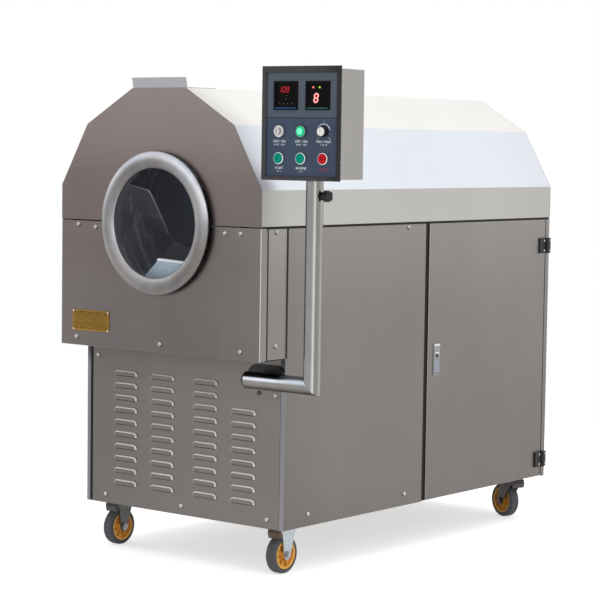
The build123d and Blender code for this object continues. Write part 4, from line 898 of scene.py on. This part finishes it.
# Lights, specks and strips on the meters; a profile is a list of (radius, height)
LIGHT_DOME = [(0.0026, 0), (0.0025, 0.0005), (0.0018, 0.001), (0.0008, 0.0013), (0, 0.0014)]
LIGHT_RISE = 0.02
LIGHTS = (("alarm_light", -0.013, "led_red"), ("run_light", 0.0055, "led_green"))
SPECK_SIZE = (0.0026, 0.0018)
SPECKS = ((-0.018, -0.02), (-0.006, -0.02), (0.006, -0.02), (0.018, -0.02), (0.0, -0.009), (0.002, 0.0))
STRIP_H = 0.0032
STRIP_DROP = 0.0305
STRIPS = (("left", -METER_U, 0.062, "strip_blue"), ("right", METER_U, 0.06, "strip_green"))


def make_displays():
    """Figures, lights and coloured strips on the two display meters."""
    figures = Shape()
    for k, figure in enumerate("108"):
        place = on_face(-METER_U - FIGURE_SHIFT + (k - 1) * FIGURE_STEP, METER_V + FIGURE_RISE, GLASS_FRONT)
        digit(figures, figure, FIGURE_SIZE, FIGURE_BAR, FIGURE_DEPTH, place)
    figures.make("temperature_figures", "control", "meter_black", "digit_red")
    place = on_face(METER_U - TIMER_SHIFT, METER_V - TIMER_DROP, GLASS_FRONT)
    for name, bar, depth, look in TIMER_LAYERS:
        layer = Shape()
        digit(layer, "8", TIMER_SIZE, bar, depth, place)
        layer.make(name, "control", "meter_black", look)
    for name, u, look in LIGHTS:
        light = Shape().lathe(LIGHT_DOME, 16, on_face(METER_U + u, METER_V + LIGHT_RISE, GLASS_FRONT))
        light.make(name, "control", "meter_black", look)
    specks = Shape()
    for u, v in SPECKS:
        specks.bar(SPECK_SIZE, 0.0005, *PRINT, on_face(-METER_U + u, METER_V + v, GLASS_FRONT))
    specks.make("mode_lights", "control", "meter_black", "led_dim")
    for name, u, width, look in STRIPS:
        strip = Shape().bar((width, STRIP_H), 0.0008, *PRINT, on_face(u, METER_V - STRIP_DROP, METER_FRONT))
        strip.make(f"{name}_meter_strip", "control", "meter_black", look)


LINE_SIZE = (0.204, 0.0022)
LINE_V = 0.1526
# Rows of labels: level, drops of their two lines, height of the first line, and labels from left to right
ON_OFF = ("OFF / ON", "0 OFF  1 ON")
LABEL_ROWS = (
    (UPPER_ROW_V, (0.0275, 0.0345), 0.0088, (ON_OFF, ON_OFF, ("MIN / MAX", "0 TO 10"))),
    (LOWER_ROW_V, (0.0265, 0.0335), 0.0082, (("START", "0 / 1"), ("REVERSE", "0 / 1"))),
)
SECOND_LINE_H = 0.0056
STOP_H, STOP_DROP = 0.01, 0.03
# The power knob's scale, in degrees and metres: a swelling arc, and marks with a number at every fifth
ARC_STEPS = 28
ARC_START, ARC_SPAN = 165, 150
ARC_OUT_R, ARC_IN_R, ARC_SWELL = 0.019, 0.0183, 0.0016
MARK_COUNT = 11
MARK_START, MARK_STEP = 225, 27
MARK_SIZE = (0.0026, 0.0007)
MARK_R = 0.0205
NUMBER_R, NUMBER_H, NUMBER_DROP = 0.0255, 0.0044, 0.0018


def make_prints():
    """The line across the fascia, the switches' labels and the power knob's scale."""
    line = Shape().bar(LINE_SIZE, 0.0007, 0.0005, 0.0002, on_face(0, LINE_V))
    line.make("fascia_line", "control", "fascia_blue", "line_ink")
    white = Shape()
    for v, drops, height, labels in LABEL_ROWS:
        for u, (first, second) in zip((-COLUMN_U, 0.0, COLUMN_U), labels):
            white.letters(first, height, on_face(u, v - drops[0]))
            white.letters(second, SECOND_LINE_H, on_face(u, v - drops[1]))
    dial = on_face(COLUMN_U, UPPER_ROW_V)
    for k in range(ARC_STEPS):
        t = [math.radians(ARC_START - ARC_SPAN * (k + e) / ARC_STEPS) for e in (0, 1)]
        inner = [ARC_IN_R - ARC_SWELL * (k + e) / ARC_STEPS for e in (0, 1)]
        outline = [polar(ARC_OUT_R, a) for a in t[::-1]] + [polar(r, a) for r, a in zip(inner, t)]
        white.plate(outline, 0.0003, 0.00005, dial)
    for mark in range(MARK_COUNT):
        t = math.radians(MARK_START - MARK_STEP * mark)
        place = dial @ about(t) @ move((MARK_R, 0, 0))
        white.bar(MARK_SIZE, 0.0003, *PRINT, place)
        if mark % 5 == 0:
            at = (COLUMN_U + NUMBER_R * math.cos(t), UPPER_ROW_V + NUMBER_R * math.sin(t) - NUMBER_DROP)
            white.letters(str(mark), NUMBER_H, on_face(*at))
    white.make("fascia_lettering", "control", "fascia_blue", "white_ink")
    red = Shape()
    red.letters("STOP", STOP_H, on_face(COLUMN_U, LOWER_ROW_V - STOP_DROP))
    red.make("stop_lettering", "control", "fascia_blue", "red_ink")


KNOB_CAP = [(0.0108, 0), (0.0108, 0.0006), (0.0102, 0.0011), (0.0088, 0.0011), (0.0084, 0.0008), (0, 0.0009)]
BUTTON_LENS = [(0.0078, 0), (0.0074, 0.0004), (0.0056, 0.0009), (0.003, 0.0012), (0, 0.0013)]
KEY_RIDGE = [(0.0125, 0), (0.0125, 0.0007), (0.0118, 0.0012), (0.0108, 0.0012), (0.0102, 0.0006), (0.0102, 0)]
KEY_REACH = 0.006
POINTER_SIZE = (0.005, 0.0011)
POINTER_SEAT = 0.0008
POINTER_TURN = 118
POINTER_R = 0.0036
# Signs on the push buttons: column, look, slot and outline
SIGNS = {
    "start": (-COLUMN_U, "deep_green", "button_green", [(0.0046, 0), (-0.0028, 0.0042), (-0.0028, -0.0042)]),
    "reverse": (0.0, "deep_green", "button_green", [(-0.0046, 0), (0.0028, -0.0042), (0.0028, 0.0042)]),
    "stop": (COLUMN_U, "deep_red", "button_red", rounded(0.0078, 0.0078, 0.001, 3)),
}


def make_caps():
    """The power knob's cap and pointer, the lit button's lens, the buttons' signs and the key's ring."""
    cap = Shape().lathe(KNOB_CAP, 36, on_face(COLUMN_U, UPPER_ROW_V, KNOB_FRONT))
    cap.make("power_knob_cap", "power", "black_plastic", "white_bezel")
    pointer = Shape()
    place = on_face(COLUMN_U, UPPER_ROW_V, KNOB_FRONT - POINTER_SEAT)
    place = place @ about(math.radians(POINTER_TURN))
    pointer.bar(POINTER_SIZE, 0.0004, 0.0004, 0.0001, place @ move((POINTER_R, 0, 0)))
    pointer.make("power_knob_mark", "power", "black_plastic", "black_plastic")
    lens = Shape().lathe(BUTTON_LENS, 32, on_face(0, UPPER_ROW_V, BUTTON_FRONT))
    lens.make("heat_button_lens", "heat", "button_green", "lit_core")
    for body, (u, look, slot, outline) in SIGNS.items():
        sign = Shape().plate(outline, *PRINT, on_face(u, LOWER_ROW_V, BUTTON_FRONT))
        sign.make(f"{body}_sign", body, slot, look)
    key = Shape().lathe(KEY_RIDGE, 36, on_face(-COLUMN_U, UPPER_ROW_V, FASCIA_Y - KEY_REACH))
    key.make("key_switch_ring", "control", "bezel_chrome", "bright_screw")


BOX_SCREW_R = 0.0032
BOX_SCREW_Y = -0.0565
BOX_SCREW_LEVELS = (0.225, 0.047)
HINGE_SCREW_R = 0.0034
HINGE_SCREW_Y = {"cabinet": 0.619, "door": 0.59}
HINGE_SCREW_RISES = (-0.0145, 0.0145)


def make_screws():
    """Screws in the side of the control box and in both leaves of the hinges."""
    sideways = about(math.radians(90), "Y")
    box = Shape()
    for v in BOX_SCREW_LEVELS:
        screw_head(box, BOX_SCREW_R, IN_BOX @ move((BOX_SIDE_U, BOX_SCREW_Y, v)) @ sideways)
    box.make("control_box_screws", "control", "screw_steel", "bright_screw")
    for body, y in HINGE_SCREW_Y.items():
        heads = Shape()
        for level in HINGE_LEVELS:
            for rise in HINGE_SCREW_RISES:
                place = move((HINGE_FACE_X, y, level + rise)) @ sideways
                screw_head(heads, HINGE_SCREW_R, place)
        heads.make(f"{body}_hinge_screws", body, "screw_steel", "bright_screw")


RIVET_DOME = [(0.003, 0), (0.0028, 0.0008), (0.002, 0.0015), (0.0009, 0.0018), (0, 0.0019)]
RIVET_INSET = 0.0045
BORDER_INSET = 0.0035
BORDER_SHORT = 0.018
BORDER_W = 0.0012
DASH_ROWS = 9
DASH_PITCH = 0.0052
DASH_H = 0.0024
TITLE_H, TITLE_RISE = 0.0044, 0.001
# Margins at the ends of a row, length of a dash and its steps, gap after a dash and what a word adds
DASH_LEFT, DASH_RIGHT = 0.009, 0.016
DASH_L, DASH_STEP = 0.0045, 0.0022
DASH_GAP, WORD_GAP = 0.0022, 0.0035


def make_nameplate():
    """A border, rows of plain dashes and four rivets on the nameplate."""
    x, z = (PLATE_X[0] + PLATE_X[1]) / 2, (PLATE_Z[0] + PLATE_Z[1]) / 2
    wide, tall = PLATE_X[1] - PLATE_X[0], PLATE_Z[1] - PLATE_Z[0]
    border = Shape()
    for sign in (-1, 1):
        level = at_front(x, PLATE_FRONT, z + sign * (tall / 2 - BORDER_INSET))
        border.bar((wide - BORDER_SHORT, BORDER_W), 0.0005, 0.0004, 0.0002, level)
        post = at_front(x + sign * (wide / 2 - BORDER_INSET), PLATE_FRONT, z)
        border.bar((BORDER_W, tall - BORDER_SHORT), 0.0005, 0.0004, 0.0002, post)
    border.make("nameplate_border", "cabinet", "plate_brass", "brass_edge")
    dashes = Shape()
    for row in range(DASH_ROWS):
        height, rise = (DASH_H, 0) if row else (TITLE_H, TITLE_RISE)
        level = z + (DASH_ROWS // 2 - row) * DASH_PITCH + rise
        left = -0.5 * wide + DASH_LEFT
        step = 0
        while left < 0.5 * wide - DASH_RIGHT:
            length = DASH_L + DASH_STEP * ((3 * row + 5 * step) % 4)
            place = at_front(x + left + length / 2, PLATE_FRONT, level)
            dashes.bar((length, height), 0.0004, 0.0002, 0.0001, place)
            left += length + DASH_GAP + WORD_GAP * ((row + step) % 3 == 0)
            step += 1
    dashes.make("nameplate_dashes", "cabinet", "plate_brass", "brass_dark")
    rivets = Shape()
    for sx in (-1, 1):
        for sz in (-1, 1):
            at = (x + sx * (wide / 2 - RIVET_INSET), PLATE_FRONT, z + sz * (tall / 2 - RIVET_INSET))
            rivets.lathe(RIVET_DOME, 16, at_front(*at))
    rivets.make("nameplate_rivets", "cabinet", "screw_steel", "bright_screw")


CHEEK_STRIP_BACK = 0.0006
# Painted shadow strips on the panel under the louvres' lips: size, and drop below a lip
LIP_SHADOW_SIZE = (0.074, 0.0026)
LIP_SHADOW_DROP = 0.0014
GAP_AT = (-0.332, LOUVRE_FACE_Y + 0.0013, 0.3535)
GAP_SIZE = (0.009, 0.423)
# Painted highlights on the lock's top edge and tab, as bright bars: level, size and shift along y
LOCK_HIGHLIGHT_BARS = ((0.5605, (0.027, 0.0052), 0.0), (0.5375, (0.0185, 0.005), 0.001))
LOCK_BAR_BACK = 0.0004
SEAL_AT = (PANEL_X - 0.0045, 0.6036, 0.5135)
SEAL_SIZE = (0.0022, 0.77)


def make_edges():
    """Strips by the cheeks, painted shadows under the louvres' lips, the louvre panel's gap, painted
    highlights on the lock and the door's rear seal.
    """
    faced = {side: about(math.radians(90 * side)) @ UPRIGHT for side in (1, -1)}
    tall = CHEEK_Z[1] - CHEEK_Z[0]
    for name, y, width, slot, look in CHEEK_STRIPS:
        strips = Shape()
        for side, turn in faced.items():
            place = move((side * (PANEL_X - CHEEK_STRIP_BACK), y, sum(CHEEK_Z) / 2)) @ turn
            strips.bar((width, tall), 0.0008, 0.0009, 0.0003, place)
        strips.make(name, "cabinet", slot, look)
    # Painted shadow under each louvre's lip
    shadow_strips = Shape()
    for x, rows in zip(LOUVRE_COLUMNS, LOUVRE_ROWS):
        for row in range(rows):
            z = LOUVRE_FOOT + row * LOUVRE_PITCH - LOUVRE_LIP - LIP_SHADOW_DROP
            shadow_strips.bar(LIP_SHADOW_SIZE, 0.0008, 0.0004, 0.0002, at_front(x, LOUVRE_FACE_Y, z))
    shadow_strips.make("louvre_lip_shadows", "cabinet", "black_rubber", "louvre_shadow")
    gap = Shape().bar(GAP_SIZE, 0.001, 0.0006, 0.0002, at_front(*GAP_AT))
    gap.make("louvre_panel_gap", "cabinet", "black_rubber", "rubber")
    # Painted highlights on the lock's top edge and tab
    bars = Shape()
    for z, size, shift in LOCK_HIGHLIGHT_BARS:
        place = move((LOCK_FRONT_X - LOCK_BAR_BACK, LOCK_Y + shift, z)) @ faced[1]
        bars.bar(size, 0.0012, 0.0012, 0.0006, place, steps=3)
    bars.make("lock_highlight_bars", "door", "lock_zinc", "lock_highlight")
    seal = Shape().bar(SEAL_SIZE, 0.0006, 0.003, 0.0006, move(SEAL_AT) @ faced[1])
    seal.make("door_edge_seal", "cabinet", "black_rubber", "seal_grey")


RIB_COUNT = 8
RIB_TURN = 0.3
RIB_FOOT = 0.0055
RIB_DEPTH = 0.0065
RIB_OUTLINE = [(HUB_R, -0.0012), (RIM_IN_R, -0.0009), (RIM_IN_R, 0.0009), (HUB_R, 0.0012)]


def make_ribs():
    """Moulded ribs between the hub and rim of each wheel, on both of its faces."""
    for name, body in WHEELS.items():
        middle, axle = axle_of(body)
        ribs = Shape()
        for way in (1, -1):
            turn = (way * axle).to_track_quat("Z", "Y").to_matrix().to_4x4()
            for k in range(RIB_COUNT):
                spoke = about(2 * math.pi * (k + RIB_TURN) / RIB_COUNT)
                place = move(middle) @ turn @ spoke @ move((0, 0, RIB_FOOT))
                ribs.plate(RIB_OUTLINE, RIB_DEPTH, 0.0004, place)
        # The ribs are real; their darker orange is painted shade
        ribs.make(f"{name}_ribs", body, "wheel_rubber", "shaded_core_rib")


# Light: an even world, a pale floor that turns white further out, and three soft lamps
WORLD_LEVEL = 0.55
FLOOR_HALF = 60.0
FLOOR_GREY = 0.88
FLOOR_LIFT = 0.57
FLOOR_WHITE = (1.2, 2.6)
WHITE = (1, 1, 1, 1)
# Lamps: name, place, what they point at, size and power
LAMPS = (
    ("overhead", (0.4, 0.2, 4.4), (0, 0, 0.6), 5.0, 95.0),
    ("right", (4.6, -2.6, 3.0), (0, 0, 0.7), 4.4, 60.0),
    ("left", (-5.2, -1.2, 3.2), (0, -0.3, 0.7), 3.8, 45.0),
)


def make_stage():
    world = bpy.data.worlds.new("studio")
    scene.world = world
    world.use_nodes = True
    tree = world.node_tree
    level = tree.nodes.new("ShaderNodeMapRange")
    level.inputs["To Min"].default_value = WORLD_LEVEL
    level.inputs["To Max"].default_value = 1.0
    tree.links.new(seen_directly(tree), level.inputs["Value"])
    background = tree.nodes["Background"]
    background.inputs["Color"].default_value = WHITE
    tree.links.new(level.outputs["Result"], background.inputs["Strength"])
    mesh = bpy.data.meshes.new("floor")
    corners = [(x * FLOOR_HALF, y * FLOOR_HALF, 0) for x, y in ((-1, -1), (1, -1), (1, 1), (-1, 1))]
    mesh.from_pydata(corners, [], [(0, 1, 2, 3)])
    floor = bpy.data.objects.new("floor", mesh)
    scene.collection.objects.link(floor)
    pale = Tree("floor")
    distance = pale.add("VectorMath", {0: pale.place}, operation="LENGTH").outputs["Value"]
    far = pale.span(distance, 0.0, 1.0, *FLOOR_WHITE)
    grain = pale.span(pale.noise(9, 2.0), 0.99, 1.01)
    pale.finish(pale.tint((FLOOR_GREY, FLOOR_GREY, FLOOR_GREY), grain), 0.9, Specular_IOR_Level=0.0)
    seen = seen_directly(pale.material.node_tree)
    lift = pale.add("Emission", {"Color": WHITE, "Strength": pale.math(seen, FLOOR_LIFT)})
    near = pale.add("AddShader", {0: pale.shader.outputs["BSDF"], 1: lift.outputs["Emission"]})
    white = pale.add("Emission", {"Color": WHITE})
    both = pale.add("MixShader", {"Fac": far, 1: near.outputs["Shader"], 2: white.outputs["Emission"]})
    pale.feed(pale.nodes["Material Output"].inputs["Surface"], both.outputs["Shader"])
    mesh.materials.append(pale.material)
    for settings in LAMPS:
        lamp(*settings)


def seen_directly(tree):
    """1 for camera rays and for rays mirrored or passed on by metal and glass, 0 for others."""
    path = tree.nodes.new("ShaderNodeLightPath")
    result = path.outputs["Is Camera Ray"]
    for other in ("Is Glossy Ray", "Is Transmission Ray"):
        larger = tree.nodes.new("ShaderNodeMath")
        larger.operation = "MAXIMUM"
        tree.links.new(result, larger.inputs[0])
        tree.links.new(path.outputs[other], larger.inputs[1])
        result = larger.outputs["Value"]
    return result


def lamp(name, at, to, size, power):
    """A square soft lamp that reflections leave out."""
    data = bpy.data.lights.new(name, "AREA")
    data.shape = "SQUARE"
    data.size = size
    data.energy = power
    light = bpy.data.objects.new(name, data)
    light.location = at
    light.visible_glossy = False
    light.rotation_euler = (Vector(to) - Vector(at)).to_track_quat("-Z", "Y").to_euler()
    scene.collection.objects.link(light)


make_camera()
make_stage()
dress_nodes()
dress_faces()
make_displays()
make_prints()
make_caps()
make_screws()
make_nameplate()
make_edges()
make_ribs()
